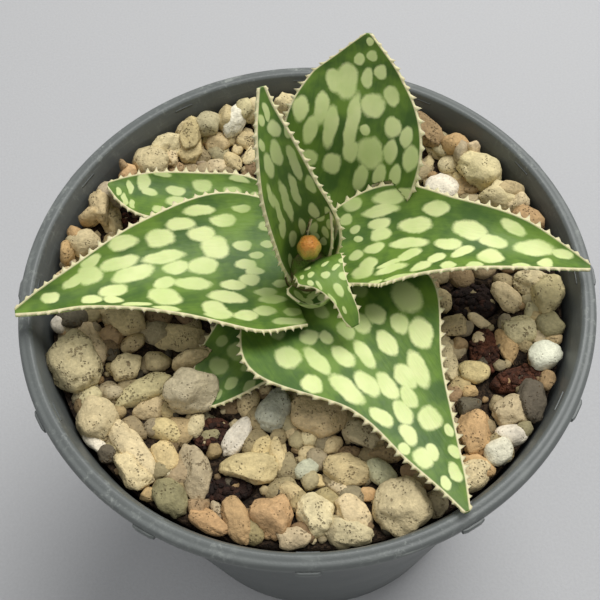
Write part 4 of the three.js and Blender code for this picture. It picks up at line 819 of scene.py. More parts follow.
def bud_material(settings):
    material, tree, shader = begin_material("bud_tissue", Specular_IOR_Level=0.4, Subsurface_Weight=0.15,
                                            Subsurface_Scale=0.001)
    here = add(tree, "ShaderNodeTexCoord").outputs["Object"]
    rise = reading(tree, "rise")
    mottle = use_group(tree, "Mottle", {"Vector": here, "Size": 900.0, "Grain": 2400.0})
    level = calc(tree, "ADD", rise, swing(tree, mottle.outputs["Slow"], 0.5))
    low = mix(tree, ramp(tree, level, 0.42, 0.68), settings.foot, settings.side)
    colour = mix(tree, ramp(tree, level, 0.66, 0.94), low, settings.top)
    flecks = ramp(tree, mottle.outputs["Fine"], 0.56, 0.72, 0.0, 0.55)
    colour = mix(tree, flecks, colour, settings.fleck)
    roughness = even(tree, mottle.outputs["Fine"], 0.42, 0.6)
    finish_surface(tree, shader, colour, roughness, mottle.outputs["Fine"], 0.0004, 0.8)
    return material


def stem_material(settings):
    material, tree, shader = begin_material("stem_tissue", Specular_IOR_Level=0.3)
    here = add(tree, "ShaderNodeTexCoord").outputs["Object"]
    mottle = use_group(tree, "Mottle", {"Vector": here, "Size": 380.0, "Grain": 2400.0})
    colour = mix(tree, ramp(tree, mottle.outputs["Slow"], 0.35, 0.65), settings.bark, settings.tissue)
    roughness = even(tree, mottle.outputs["Fine"], 0.6, 0.8)
    finish_surface(tree, shader, colour, roughness, mottle.outputs["Fine"], 0.0003)
    return material


def table_material(settings):
    material, tree, shader = begin_material("plain_table", Specular_IOR_Level=0.1)
    here = add(tree, "ShaderNodeTexCoord").outputs["Object"]
    mottle = use_group(tree, "Mottle", {"Vector": here, "Size": 30.0, "Grain": 1400.0})
    darker = tuple(c * 0.95 for c in settings.backdrop)
    colour = mix(tree, ramp(tree, mottle.outputs["Fine"], 0.3, 0.7), darker, settings.backdrop)
    roughness = even(tree, mottle.outputs["Slow"], 0.8, 0.9)
    finish_surface(tree, shader, colour, roughness, mottle.outputs["Fine"], 0.0002, 0.3)
    return material


# Pot


def wall_radius(z):
    return BASE_RADIUS + (WALL_TOP_RADIUS - BASE_RADIUS) * z / WALL_TOP_Z


def inner_radius(z):
    return wall_radius(z) - WALL


def spin(profile, sides):
    """Closed body of revolution from a profile (radius, height) that starts and ends on the axis."""
    vertices, faces, rings = [], [], []
    for r, z in profile:
        if r < 1e-6:
            rings.append([len(vertices)] * sides)
            vertices.append((0.0, 0.0, z))
        else:
            rings.append(list(range(len(vertices), len(vertices) + sides)))
            vertices += [(r * math.cos(2 * math.pi * k / sides), r * math.sin(2 * math.pi * k / sides), z)
                         for k in range(sides)]
    for low, high in zip(rings, rings[1:]):
        for k in range(sides):
            face = [low[k], low[(k + 1) % sides], high[(k + 1) % sides], high[k]]
            face = [v for i, v in enumerate(face) if v not in face[:i]]
            if len(face) > 2:
                faces.append(face)
    return vertices, faces


def rounded(points, radius):
    """The profile with its sharp corners rounded."""
    steps = 3
    out = [points[0]]
    for a, b, c in zip(points, points[1:], points[2:]):
        a, b, c = Vector(a), Vector(b), Vector(c)
        reach = min(radius, 0.4 * (a - b).length, 0.4 * (c - b).length)
        start, end = b + (a - b).normalized() * reach, b + (c - b).normalized() * reach
        for k in range(steps + 1):
            f = k / steps
            out.append(tuple((1 - f) ** 2 * start + 2 * f * (1 - f) * b + f * f * end))
    return out + [points[-1]]


def pot_profile(roundness):
    """Outside, over the rim and down the inside."""
    outer = [
        (0, 0), (BASE_RADIUS - BASE_BEVEL, 0), (wall_radius(BASE_BEVEL), BASE_BEVEL), (wall_radius(30), 30),
        (wall_radius(60), 60), (WALL_TOP_RADIUS, WALL_TOP_Z), (RIM_RADIUS - RIM_BEVEL, RIM_BOTTOM_Z),
        (RIM_RADIUS, RIM_BOTTOM_Z + RIM_BEVEL), (RIM_RADIUS, RIM_FLAT_Z - 0.7),
        (RIM_RADIUS - 0.5, RIM_FLAT_Z), (RIM_FLAT_RADIUS, RIM_FLAT_Z),
        (RIM_FLAT_RADIUS - RIM_BEVEL, POT_HEIGHT - 0.05),
        (RIM_INNER_RADIUS, POT_HEIGHT), (RIM_INNER_RADIUS - 0.5, POT_HEIGHT - 0.35),
        (inner_radius(WALL_TOP_Z), WALL_TOP_Z), (inner_radius(60), 60), (inner_radius(30), 30),
        (inner_radius(3.1), 3.1), (inner_radius(FLOOR_THICKNESS) - BASE_BEVEL, FLOOR_THICKNESS),
        (0, FLOOR_THICKNESS),
    ]
    return rounded(outer, roundness)


def lug(angle):
    """One stacking lug under the rim: a small block with a bevelled outer face."""
    steps = 6
    section = (
        (LUG_ROOT_RADIUS, LUG_BOTTOM_Z), (LUG_RADIUS - LUG_BEVEL, LUG_BOTTOM_Z),
        (LUG_RADIUS, LUG_BOTTOM_Z + LUG_BEVEL), (LUG_RADIUS, LUG_TOP_Z - 0.3),
        (LUG_RADIUS - LUG_BEVEL, LUG_TOP_Z), (LUG_ROOT_RADIUS, LUG_TOP_Z),
    )
    vertices = []
    for k in range(steps + 1):
        turn = math.radians(angle + LUG_WIDTH * (k / steps - 0.5))
        ends = LUG_END_BEVEL if k in (0, steps) else 0.0
        for r, z in section:
            radius = r - (ends if r > LUG_ROOT_RADIUS else 0)
            vertices.append((radius * math.cos(turn), radius * math.sin(turn), z))
    return vertices, tube_faces(steps + 1, len(section))


def outward(mesh):
    """Turns every closed shell of the mesh to face out."""
    work = bmesh.new()
    work.from_mesh(mesh)
    bmesh.ops.recalc_face_normals(work, faces=work.faces)
    work.to_mesh(mesh)
    work.free()


def crisp_edges(mesh):
    """Keeps the sharp edges of a smooth mesh crisp in the shading."""
    work = bmesh.new()
    work.from_mesh(mesh)
    for edge in work.edges:
        edge.smooth = len(edge.link_faces) == 2 and edge.calc_face_angle(0) < CREASE_ANGLE
    work.to_mesh(mesh)
    work.free()


def cut_mesh(piece, cutters):
    """The mesh of an object less the cutters."""
    for cutter in cutters:
        change = piece.modifiers.new("cut", "BOOLEAN")
        change.operation = "DIFFERENCE"
        change.solver = "MANIFOLD"
        change.object = cutter
    graph = bpy.context.evaluated_depsgraph_get()
    mesh = bpy.data.meshes.new_from_object(piece.evaluated_get(graph))
    piece.modifiers.clear()
    return mesh


def scratch_object(name, vertices, faces):
    mesh = new_mesh(name, metres(vertices), faces)
    outward(mesh)
    helper = bpy.data.objects.new(name, mesh)
    bpy.context.scene.collection.objects.link(helper)
    return helper


def discard(*objects):
    for item in objects:
        mesh = item.data
        bpy.data.objects.remove(item)
        bpy.data.meshes.remove(mesh)


class ALOE_OT_pot(bpy.types.Operator):
    """Builds the nursery pot with its rim, stacking lugs and drain holes"""

    bl_idname = "aloe.pot"
    bl_label = "Pot"

    def execute(self, context):
        settings = context.scene.aloe_pot
        body = scratch_object("pot_body", *spin(pot_profile(settings.rim_roundness / MM), settings.sides))
        cutters = []
        for k in range(DRAINS):
            turn = 2 * math.pi * k / DRAINS
            vertices, faces = spin(((0, -2), (DRAIN_RADIUS, -2), (DRAIN_RADIUS, 4), (0, 4)), 32)
            shifted = [(x + DRAIN_CIRCLE * math.cos(turn), y + DRAIN_CIRCLE * math.sin(turn), z)
                       for x, y, z in vertices]
            cutters.append(scratch_object("drain", shifted, faces))
        mesh = cut_mesh(body, cutters)
        lugs = []
        for k in range(LUGS):
            lugs.append(scratch_object("lug", *lug(LUG_START + 360 * k / LUGS)))
        work = bmesh.new()
        work.from_mesh(mesh)
        for item in lugs:
            work.from_mesh(item.data)
        work.to_mesh(mesh)
        work.free()
        if len(mesh.vertices) < 1000:
            raise RuntimeError("the pot lost its body")
        points = np.empty(len(mesh.vertices) * 3, np.float32)
        mesh.vertices.foreach_get("co", points)
        points = points.reshape(-1, 3) / MM
        radius, height = np.hypot(points[:, 0], points[:, 1]), points[:, 2]
        rub = WALL_RUB + RIM_RUB * np.clip((height - 89.5) / 1.5, 0, 1) * np.clip((radius - 47.0) / 0.8, 0, 1)
        rub += INSIDE_RUB * np.clip((height - 85) / 5, 0, 1) * (radius < 47.5)
        set_floats(mesh, "rub", rub)
        smooth_shading(mesh)
        crisp_edges(mesh)
        show(mesh, "nursery_pot", pot_material(settings), "pot_plastic", "pot")
        discard(body, *cutters, *lugs)
        return {"FINISHED"}


# Soil and gravel


def bed_top(distance):
    """Height of the bed at a distance from the pot's middle."""
    edge = inner_radius(BED_BOTTOM_Z) - GAP
    over = max(distance, HEAP_START) - HEAP_START
    return BED_TOP_Z + (BED_EDGE_Z - BED_TOP_Z) * over / (edge - HEAP_START)


def patch_distance(x, y, patch, margin):
    """Distance from the middle of a bare patch, 1 on its outline."""
    px, py, a, b, turn = patch[:5]
    c, s = math.cos(math.radians(turn)), math.sin(math.radians(turn))
    u, v = (x - px) * c + (y - py) * s, (y - py) * c - (x - px) * s
    return math.hypot(u / (a + margin), v / (b + margin))


def along_sight(x, y, z):
    """A listed place moved along its line of sight to the height z."""
    sx, sy, sz = SEEN_FROM
    share = (z - READ_Z) / (sz - READ_Z)
    return x + (sx - x) * share, y + (sy - y) * share


def resting_place(x, y, long, wide, turn, lift=0.0):
    """Where a stone of the list rests: x, y, z, length, width, height."""
    low = wide * STONE_HEIGHT
    floor = bed_top(math.hypot(x, y))
    while True:
        height = low + lift
        z = floor + STONE_SINK * low + lift / 2
        px, py = along_sight(x, y, z)
        distance = math.hypot(px, py)
        lean = math.atan2(py, px) - math.radians(turn)
        reach = math.hypot(long / 2 * math.cos(lean), wide / 2 * math.sin(lean))
        limit = inner_radius(z - height / 3) - WALL_CLEARANCE - min(reach, WIDEST_REACH)
        squeeze = min(1.0, WIDEST_REACH / reach)
        if distance <= limit or z + height / 2 + 0.5 > TALLEST_Z or py < 0:
            pull = min(1.0, limit / distance)
            return px * pull, py * pull, z, long * (squeeze if distance > limit - 3 else 1.0), wide, height
        lift += 0.5


def icosphere(level):
    work = bmesh.new()
    bmesh.ops.create_icosphere(work, subdivisions=level, radius=1)
    vertices = np.array([v.co[:] for v in work.verts])
    faces = [[v.index for v in f.verts] for f in work.faces]
    work.free()
    return vertices, faces


def noise_at(points, size, seed):
    shift = Vector((seed * 7.13, seed * 3.71, seed * 1.97))
    return np.array([noise.noise(Vector(p) * size + shift) for p in points])


def worn_stone(ball, draw, seed, flats=7, rough=0.5):
    """A unit stone: rounded, knocked flat here and there, lumpy and pitted."""
    power = draw.uniform(1.95, 2.5)
    points = ball / (np.abs(ball) ** power).sum(axis=1)[:, None] ** (1 / power)
    for _ in range(flats):
        d = draw.normal(size=3)
        d /= np.linalg.norm(d)
        over = points @ d - draw.uniform(0.6, 0.92)
        points -= np.clip(over, 0, None)[:, None] * d * 0.9
    swell = 1 + 0.17 * noise_at(ball, 1.4, seed) + 0.08 * noise_at(ball, 3.0, seed + 5)
    swell += (0.02 + 0.04 * rough) * noise_at(ball, 6.5, seed + 9)
    if len(ball) > 600:
        pits = np.clip(noise_at(ball, 5.2 + 2 * rough, seed + 13) - 0.28, 0, None)
        swell -= (0.12 + 0.42 * rough) * pits
    points *= swell[:, None]
    low, high = points.min(axis=0), points.max(axis=0)
    return (points - (low + high) / 2) / ((high - low) / 2)


class StoneHeap:
    """Collects stones into one mesh."""

    def __init__(self):
        self.vertices, self.faces, self.tones, self.porous = [], [], [], []
        self.count = 0

    def add(self, points, faces, tone, porous):
        self.vertices.append(points)
        self.faces += [[i + self.count for i in face] for face in faces]
        self.count += len(points)
        self.tones.append(np.tile(tone, (len(points), 1)))
        self.porous.append(np.full(len(points), porous))

    def mesh(self, name):
        mesh = new_mesh(name, np.concatenate(self.vertices) * MM, self.faces)
        set_vectors(mesh, "tone", np.concatenate(self.tones))
        set_floats(mesh, "porous", np.concatenate(self.porous))
        return mesh


def turned(points, degrees):
    c, s = math.cos(math.radians(degrees)), math.sin(math.radians(degrees))
    x, y, z = points.T
    return np.stack([x * c - y * s, x * s + y * c, z], axis=1)


def clear_of_leaves(points, leaves):
    """How far in millimetres the points must drop to clear the leaves, or None."""
    for drop in np.arange(0, 4.01, 0.5):
        free = True
        for p in points:
            here = Vector((p[0] * MM, p[1] * MM, (p[2] - drop) * MM))
            near, normal, _, distance = leaves.find_nearest(here, 0.004)
            if near is not None and (distance < LEAF_CLEARANCE * MM or (here - near).dot(normal) < 0):
                free = False
                break
        if free:
            return drop
    return None


def rest_on(points, tree):
    """Pushes the underside of a stone up onto the leaf below it."""
    for p in points:
        hit = tree.ray_cast(Vector((p[0] * MM, p[1] * MM, 0.1)), Vector((0, 0, -1)))[0]
        if hit is not None:
            p[2] = max(p[2], hit.z / MM + LEAF_CLEARANCE)


def leaves_under(names):
    """Leaf pieces as one tree for distance checks."""
    vertices, faces = [], []
    for name in names:
        mesh = bpy.data.objects["fine_" + name].data
        start = len(vertices)
        vertices += [v.co[:] for v in mesh.vertices]
        faces += [[i + start for i in p.vertices] for p in mesh.polygons]
    return BVHTree.FromPolygons(vertices, faces)


def fill_places(pitch, draw):
    """Places for the lower stones that show between and behind the listed ones."""
    places = []
    reach = math.ceil(inner_radius(BED_TOP_Z) / pitch)
    for row in range(-reach, reach + 1):
        for column in range(-reach, reach + 1):
            x = (column + (0.5 if row % 2 else 0) + 0.5 * (draw.random() - 0.5)) * pitch
            y = (row * 0.87 + 0.4 * (draw.random() - 0.5)) * pitch
            long = draw.uniform(3.6, 6.2)
            covered = any(math.hypot(x - s[0], y - s[1]) < (s[2] + s[3]) / 4 * 0.55 for s in STONES)
            on_soil = any(patch_distance(x, y, patch, 1.4) < 1 for patch in SOIL_PATCHES)
            near_stem = math.hypot(x - STEM_AXIS[0], y - STEM_AXIS[1]) < 7
            inside = math.hypot(x, y) < inner_radius(BED_TOP_Z) - 2.2
            if not covered and not on_soil and not near_stem and inside:
                tone = ("tan", "cream", "tan", "yellow", "grey", "brown")[int(draw.integers(6))]
                places.append((x, y, long, long * draw.uniform(0.66, 0.9), draw.uniform(0, 180), tone))
    return places


class ALOE_OT_gravel(bpy.types.Operator):
    """Builds the pumice top dressing stone by stone, on its bed of grit"""

    bl_idname = "aloe.gravel"
    bl_label = "Gravel"

    def execute(self, context):
        settings = context.scene.aloe_gravel
        material = stone_material(settings)
        leaves = leaves_under(LEAVES)
        balls = {level: icosphere(level) for level in (1, 2, 3, 4)}
        draw = np.random.default_rng(STONE_SEED)
        names = ("pumice_back", "pumice_left", "pumice_right", "pumice_below", "pumice_grit")
        heaps = {name: StoneHeap() for name in names}
        for seed, (x, y, long, wide, turn, tone_name, *rise) in enumerate(STONES):
            px, py, z, long, wide, height = resting_place(x, y, long, wide, turn, *rise)
            colour, porous = TONES[tone_name]
            ball, faces = balls[4 if long > LARGE_STONE else 3]
            shape = worn_stone(ball, draw, seed, 4 if porous > 0.3 else 2, porous)
            points = turned(shape * (WORN_HALF * long, WORN_HALF * wide, height / 2), turn) + (px, py, z)
            if rise:
                rest_on(points, leaves_under(("leaf_front_left",)))
            elif not self.settle(points, leaves, bed_top(math.hypot(px, py)) + 0.3):
                continue
            side = "pumice_left" if px < RIGHT_FROM_X else "pumice_right"
            heap = heaps["pumice_back" if py > BACK_FROM_Y else side]
            heap.add(points, faces, self.tint(colour, draw), porous)
        places = fill_places(settings.fill_pitch / MM, draw)
        for seed, (x, y, long, wide, turn, tone_name) in enumerate(places):
            ball, faces = balls[2]
            colour, porous = TONES[tone_name]
            shape = worn_stone(ball, draw, 400 + seed, 5, porous)
            floor = bed_top(math.hypot(x, y))
            z = floor + draw.uniform(0.9, 1.7) - 0.3 * wide
            points = turned(shape * (long / 2, wide / 2, 0.35 * wide), turn) + (x, y, z)
            if self.settle(points, leaves, floor + 0.2):
                # Painted shade: the lower stones are darkened for the shade of the stones above them.
                heaps["pumice_below"].add(points, faces, LOWER_PAINTED_SHADE * self.tint(colour, draw), porous)
        self.scatter_grit(heaps["pumice_grit"], balls[1], leaves, settings.grit_count)
        for name, heap in heaps.items():
            show(heap.mesh(name), name, material, "pumice", "gravel")
        show(self.bed(), "grit_bed", bed_material(settings), "pumice", "gravel")
        return {"FINISHED"}

    def tint(self, colour, draw):
        """The stone's own slight change of its tone."""
        return np.array(linear(colour)) * draw.uniform(0.84, 1.06) * (1 + 0.02 * draw.normal(size=3))

    def settle(self, points, leaves, lowest_top):
        """Lowers a stone until it clears the leaves; False if it would vanish in the bed."""
        drop = clear_of_leaves(points[:: max(1, len(points) // 60)], leaves)
        if drop is None or points[:, 2].max() - drop < lowest_top:
            return False
        points[:, 2] = np.maximum(points[:, 2] - drop, BED_BOTTOM_Z + 0.1)
        return True

    def scatter_grit(self, heap, blank, leaves, count):
        """Crumbs between the stones, darkened as painted shade for the gaps they lie in."""
        draw = np.random.default_rng(GRIT_SEED)
        ball, faces = blank
        names = ("brown", "tan", "orange", "dark", "cream", "tan")
        for seed in range(count):
            r, a = (inner_radius(BED_TOP_Z) - 1.6) * math.sqrt(draw.random()), draw.uniform(0, 2 * math.pi)
            x, y = r * math.cos(a), r * math.sin(a)
            size = draw.uniform(0.5, 1.2)
            shape = worn_stone(ball, draw, 900 + seed, 3) * (size, size * draw.uniform(0.7, 1), size * 0.8)
            # Painted shade: each crumb's tone is darkened for the shade in the gaps.
            colour = np.array(linear(TONES[names[int(draw.integers(6))]][0])) * draw.uniform(0.4, 0.8)
            points = turned(shape, draw.uniform(0, 180)) + (x, y, bed_top(r) + 0.25 * size)
            from_stem = math.hypot(x - STEM_AXIS[0], y - STEM_AXIS[1])
            if from_stem > 6 and clear_of_leaves(points[::6], leaves) == 0:
                heap.add(points, faces, colour, 0.3)

    def bed(self):
        """The fine bed that the stones sink into."""
        radius = inner_radius(BED_BOTTOM_Z) - GAP
        rings, sides = 90, 300
        profile = [(0, BED_BOTTOM_Z), (radius, BED_BOTTOM_Z)]
        profile += [(radius * (1 - k / rings), bed_top(radius * (1 - k / rings))) for k in range(rings)]
        profile.append((0, BED_TOP_Z))
        vertices, faces = spin(profile, sides)
        out = []
        for x, y, z in vertices:
            if z > BED_BOTTOM_Z + 0.01 and math.hypot(x, y) < radius - 0.05:
                z += (0.22 * noise.noise(Vector((x, y, 0)) * 1.1)
                      + 0.16 * noise.noise(Vector((x, y, 9)) * 2.6) - 0.1)
                for patch in SOIL_PATCHES:
                    near = patch_distance(x, y, patch, 0.3)
                    z -= 1.6 * max(0.0, min(1.0, (1.12 - near) / 0.2)) if near < 1.12 else 0.0
            out.append((x, y, z))
        mesh = new_mesh("grit_bed", metres(out), faces)
        outward(mesh)
        return mesh


class ALOE_OT_soil(bpy.types.Operator):
    """Builds the potting mix with the crumbly patches that show between the stones"""

    bl_idname = "aloe.soil"
    bl_label = "Soil"

    def execute(self, context):
        settings = context.scene.aloe_soil
        draw = np.random.default_rng(SOIL_SEED)
        vertices, faces = self.plug()
        dry = [0.1] * len(vertices)
        balls = [icosphere(1), icosphere(2)]
        for seed, patch in enumerate(SOIL_PATCHES):
            amount = patch[-1]
            more, tiles = self.mound(patch, seed)
            faces += [[i + len(vertices) for i in face] for face in tiles]
            vertices += more
            dry += [amount] * len(more)
            for k in range(settings.crumbs):
                ball, tiles = balls[k % 2]
                size = draw.uniform(0.25, 0.75)
                spread, a = 0.92 * math.sqrt(draw.random()), draw.uniform(0, 2 * math.pi)
                u, v = patch[2] * spread * math.cos(a), patch[3] * spread * math.sin(a)
                c, s = math.cos(math.radians(patch[4])), math.sin(math.radians(patch[4]))
                x, y = patch[0] + u * c - v * s, patch[1] + u * s + v * c
                z = bed_top(math.hypot(x, y)) + patch[5] * (1 - spread**2) + 0.15
                shape = worn_stone(ball, draw, 300 + k, 4) * size * (1, 0.85, 0.7)
                crumb = turned(shape, draw.uniform(0, 180)) + (x, y, z)
                faces += [[i + len(vertices) for i in face] for face in tiles]
                vertices += [tuple(p) for p in crumb]
                dry += [min(1.0, max(0.0, amount + draw.uniform(-0.5, 0.3)))] * len(crumb)
        mesh = new_mesh("potting_mix", metres(vertices), faces)
        set_floats(mesh, "dry", dry)
        outward(mesh)
        show(mesh, "potting_mix", soil_material(settings), "soil", "soil")
        return {"FINISHED"}

    def plug(self):
        """The mix inside the pot, with the plain hole of the stem."""
        bottom, top = FLOOR_THICKNESS + GAP, BED_BOTTOM_Z - 0.5
        profile = [(0, bottom), (inner_radius(bottom) - 2.8, bottom)]
        profile.append((inner_radius(bottom + 2.5) - GAP, bottom + 2.5))
        profile += [(inner_radius(z) - GAP, z) for z in (20, 40, 60, 75, top)]
        profile += STEM_HOLE
        vertices, faces = spin(profile, 120)
        moved = []
        for x, y, z in vertices:
            inside = math.hypot(x, y) < 6 and z > 50
            moved.append((x + STEM_AXIS[0], y + STEM_AXIS[1], z) if inside else (x, y, z))
        return moved, faces

    def mound(self, patch, seed):
        """A crumbly dome that fills one gap between the stones."""
        px, py, a, b, turn, rise = patch[:6]
        rings, sides = 22, 64
        c, s = math.cos(math.radians(turn)), math.sin(math.radians(turn))
        vertices, faces = [], []
        foot = BED_BOTTOM_Z - 1.0
        for k in range(rings + 1):
            share = 1 - k / rings
            for j in range(sides):
                angle = 2 * math.pi * j / sides
                u, v = a * share * math.cos(angle), b * share * math.sin(angle)
                x, y = px + u * c - v * s, py + u * s + v * c
                z = bed_top(math.hypot(x, y)) + rise * (1 - share**2)
                z += (0.35 * noise.noise(Vector((x, y, seed)) * 1.6)
                      + 0.22 * noise.noise(Vector((x, y, seed)) * 3.7))
                vertices.append((x, y, z - (1.2 if k == 0 else 0)))
        low = [(vertices[j][0], vertices[j][1], foot) for j in range(sides)]
        for k in range(rings):
            for j in range(sides):
                m = (j + 1) % sides
                faces.append((k * sides + j, k * sides + m, (k + 1) * sides + m, (k + 1) * sides + j))
        start = len(vertices)
        vertices += low
        for j in range(sides):
            m = (j + 1) % sides
            faces.append((start + j, start + m, m, j))
        faces.append(tuple(start + j for j in reversed(range(sides))))
        faces.append(tuple(rings * sides + j for j in range(sides)))
        return vertices, faces


# Leaves


def leaf_spots(name, form):
    """Pale spots of a leaf, seeded where none are listed."""
    if name in SPOTS:
        return SPOTS[name]
    draw = np.random.default_rng(sum(ord(c) for c in name))
    spots = []
    pitch_u, pitch_v = (4.9, 3.1) if form.length > YOUNG_LENGTH else (2.6, 2.0)
    rows = int(form.length / pitch_u) + 1
    for i in range(rows):
        t = (i + 0.5) / rows
        left = float(smooth_rows(form.leaf["half"], np.array([t]), 1)[0])
        right = float(smooth_rows(form.leaf["half"], np.array([t]), 2)[0])
        v = -left + 1.0
        k = 0
        while v < right - 0.8:
            u = (t * form.length + pitch_u * (0.5 * (k % 2) + 0.5 * (draw.random() - 0.5)))
            long = pitch_u * draw.uniform(0.6, 1.15)
            wide = pitch_v * draw.uniform(0.55, 0.8)
            spots.append((u, v + draw.uniform(-0.3, 0.3), long, wide, 0))
            v += pitch_v * draw.uniform(0.85, 1.15)
            k += 1
    return spots


def spot_mask(u, v, spots):
    """1 in the middle of the spots, 0.5 on their outline, 0 outside."""
    x = u + 0.14 * np.sin(1.7 * v + 0.9 * u) + 0.04 * np.sin(3.9 * v - 2.3 * u)
    y = v + 0.1 * np.sin(1.3 * u - 0.8 * v) + 0.03 * np.sin(3.1 * u + 2.7 * v)
    mask = np.zeros(np.broadcast(u, v).shape)
    for su, sv, long, wide, tilt in spots:
        c, s = math.cos(math.radians(tilt)), math.sin(math.radians(tilt))
        along, over = (x - su) * c + (y - sv) * s, (y - sv) * c - (x - su) * s
        d = np.sqrt((along / (SPOT_GROWTH * long / 2)) ** 2 + (over / (SPOT_GROWTH * wide / 2)) ** 2)
        mask = np.maximum(mask, np.clip(1 - 0.5 * d**1.6, 0, 1))
    return mask


def leaf_surface(name, settings):
    """The fine mesh of one leaf, with its spots, margin and position stored on it."""
    form = LeafForm(LEAVES[name])
    draw = np.random.default_rng(len(name) * 31 + 7)
    stations = max(30, int(form.length / (settings.station / MM)))
    t = np.linspace(0, 1, stations + 1)
    up_columns = settings.columns if form.length > YOUNG_LENGTH else max(16, settings.columns // 2)
    low_columns = max(10, up_columns // 3)
    over = np.linspace(-1, 1, up_columns + 1)
    under = np.linspace(1, -1, low_columns + 1)
    rib = form.rib(t)
    top = form.place(t, over[None, :], np.zeros((len(t), len(over))))
    thick = EDGE_THICKNESS * 0.8 + (rib - EDGE_THICKNESS * 0.8) * (1 - np.abs(under[None, :]) ** 1.7)
    bottom = form.place(t, under[None, :], thick)
    right_teeth = tooth_line(form, t, draw)
    left_teeth = tooth_line(form, t, draw)
    right = form.place(t, np.ones((len(t), 1)), np.full((len(t), 1), 0.25), right_teeth[:, None])
    left = form.place(t, -np.ones((len(t), 1)), np.full((len(t), 1), 0.25), left_teeth[:, None])
    ring = np.concatenate([top, right, bottom, left], axis=1)
    columns = ring.shape[1]
    across = np.concatenate([over, [1.0], under, [-1.0]])[None, :]
    u = (t * form.length)[:, None] + 0 * across
    half = form.half_width(t, across)
    v = across * half
    spots = leaf_spots(name, form)
    back_spots = leaf_spots(name + "_under", form)
    is_under = np.zeros(columns, bool)
    is_under[len(over) + 1 : -1] = True
    spot = np.where(is_under[None, :], spot_mask(u, v, back_spots), spot_mask(u, v, spots))
    edge = (1 - np.abs(across)) * half
    edge = np.minimum(edge, form.length * (1.02 - t)[:, None]) + 0.25 * is_under[None, :]
    if form.length < YOUNG_LENGTH:
        edge *= 1.7
    edge[:, len(over)] = 0
    edge[:, -1] = 0
    mesh = new_mesh("fine_" + name, ring.reshape(-1, 3) * MM, tube_faces(len(t), columns))
    set_floats(mesh, "spot", spot)
    set_floats(mesh, "edge", edge)
    # Partly painted shade: spots dimmed towards the base, where the leaves lie in shade, and a little on the
    # underside.
    strongest, reach = SPOT_DULL_AND_SHADE.get(name, (0.2, 60))
    set_floats(mesh, "spot_dull_and_shade", strongest * np.clip(2 - 2 * u / reach, 0, 1) + 0.2 * is_under[None, :])
    set_vectors(mesh, "run", np.stack([u, v + 40.0 * is_under[None, :], u * 0 + len(name) * 5.0], axis=-1))
    outward(mesh)
    return mesh


def leaf_room(name):
    """The space that other pieces leave to a leaf."""
    form = LeafForm(LEAVES[name])
    t = np.linspace(0, 1, 25)
    shift = np.where(t == 0, -GAP, np.where(t == 1, GAP, 0.0))
    over = np.linspace(-1, 1, 13)
    under = np.linspace(1, -1, 9)
    rib = form.rib(t)
    extra = LEAVES[name]["tooth"] * TOOTH_HEIGHT * 0.5 + GAP
    top = form.place(t, over[None, :], np.full((len(t), len(over)), -GAP), extra, shift)
    thick = EDGE_THICKNESS + (rib - EDGE_THICKNESS) * (1 - np.abs(under[None, :]) ** 1.7) + GAP
    bottom = form.place(t, under[None, :], thick, extra, shift)
    ring = np.concatenate([top, bottom], axis=1)
    return scratch_object("room_" + name, ring.reshape(-1, 3), tube_faces(len(t), ring.shape[1]))


def largest_island(mesh):
    """Keeps the biggest connected shell of a mesh."""
    work = bmesh.new()
    work.from_mesh(mesh)
    left = set(work.verts)
    best = []
    while left:
        stack = [left.pop()]
        island = []
        while stack:
            vertex = stack.pop()
            island.append(vertex)
            for edge in vertex.link_edges:
                other = edge.other_vert(vertex)
                if other in left:
                    left.remove(other)
                    stack.append(other)
        if len(island) > len(best):
            best = island
    keep = set(best)
    bmesh.ops.delete(work, geom=[v for v in work.verts if v not in keep], context="VERTS")
    work.to_mesh(mesh)
    work.free()


class ALOE_OT_leaves(bpy.types.Operator):
    """Builds every leaf with its teeth and pale spots, from the heart outwards"""

    bl_idname = "aloe.leaves"
    bl_label = "Leaves"

    def execute(self, context):
        settings = context.scene.aloe_leaf
        material = leaf_material(settings)
        rooms = [scratch_object("room_stem", *stem_shape(GAP)), scratch_object("room_bud", *bud_shape(GAP))]
        for name in LEAVES:
            whole = bpy.data.objects.new("whole", leaf_surface(name, settings))
            context.scene.collection.objects.link(whole)
            mesh = cut_mesh(whole, rooms)
            largest_island(mesh)
            if len(mesh.vertices) < 200:
                raise RuntimeError(f"{name} was cut away")
            smooth_shading(mesh)
            show(mesh, "fine_" + name, material, "leaf", name)
            discard(whole)
            rooms.append(leaf_room(name))
        discard(*rooms)
        return {"FINISHED"}


def stem_shape(grow=0.0, sides=28):
    first, last = STEM_PROFILE[0], STEM_PROFILE[-1]
    profile = [(0, first[1] - grow)] + [(r + grow, z) for r, z in STEM_PROFILE] + [(0, last[1] + grow)]
    vertices, faces = spin(profile, sides)
    return [(x + STEM_AXIS[0], y + STEM_AXIS[1], z) for x, y, z in vertices], faces


def bud_shape(grow=0.0, sides=32, ridges=0.0):
    arc = [math.pi * k / 16 for k in range(1, 16)]
    profile = [(0, -1)] + [(math.sin(a), -math.cos(a)) for a in arc] + [(0, 1)]
    vertices, faces = spin(profile, sides)
    tilt = Matrix.Rotation(math.radians(BUD_TILT), 3, "X")
    out = []
    for x, y, z in vertices:
        ribs = math.cos(6 * math.atan2(y, x)) * 0.04
        swell = 1 + ridges * (ribs + 0.03 * noise.noise(Vector((x, y, z)) * 2.4))
        radius = BUD_RADIUS + grow
        point = Vector((x * swell * radius, y * swell * radius, z * (BUD_HALF_LENGTH + grow)))
        out.append(tuple(tilt @ point + Vector(BUD_MIDDLE)))
    return out, faces


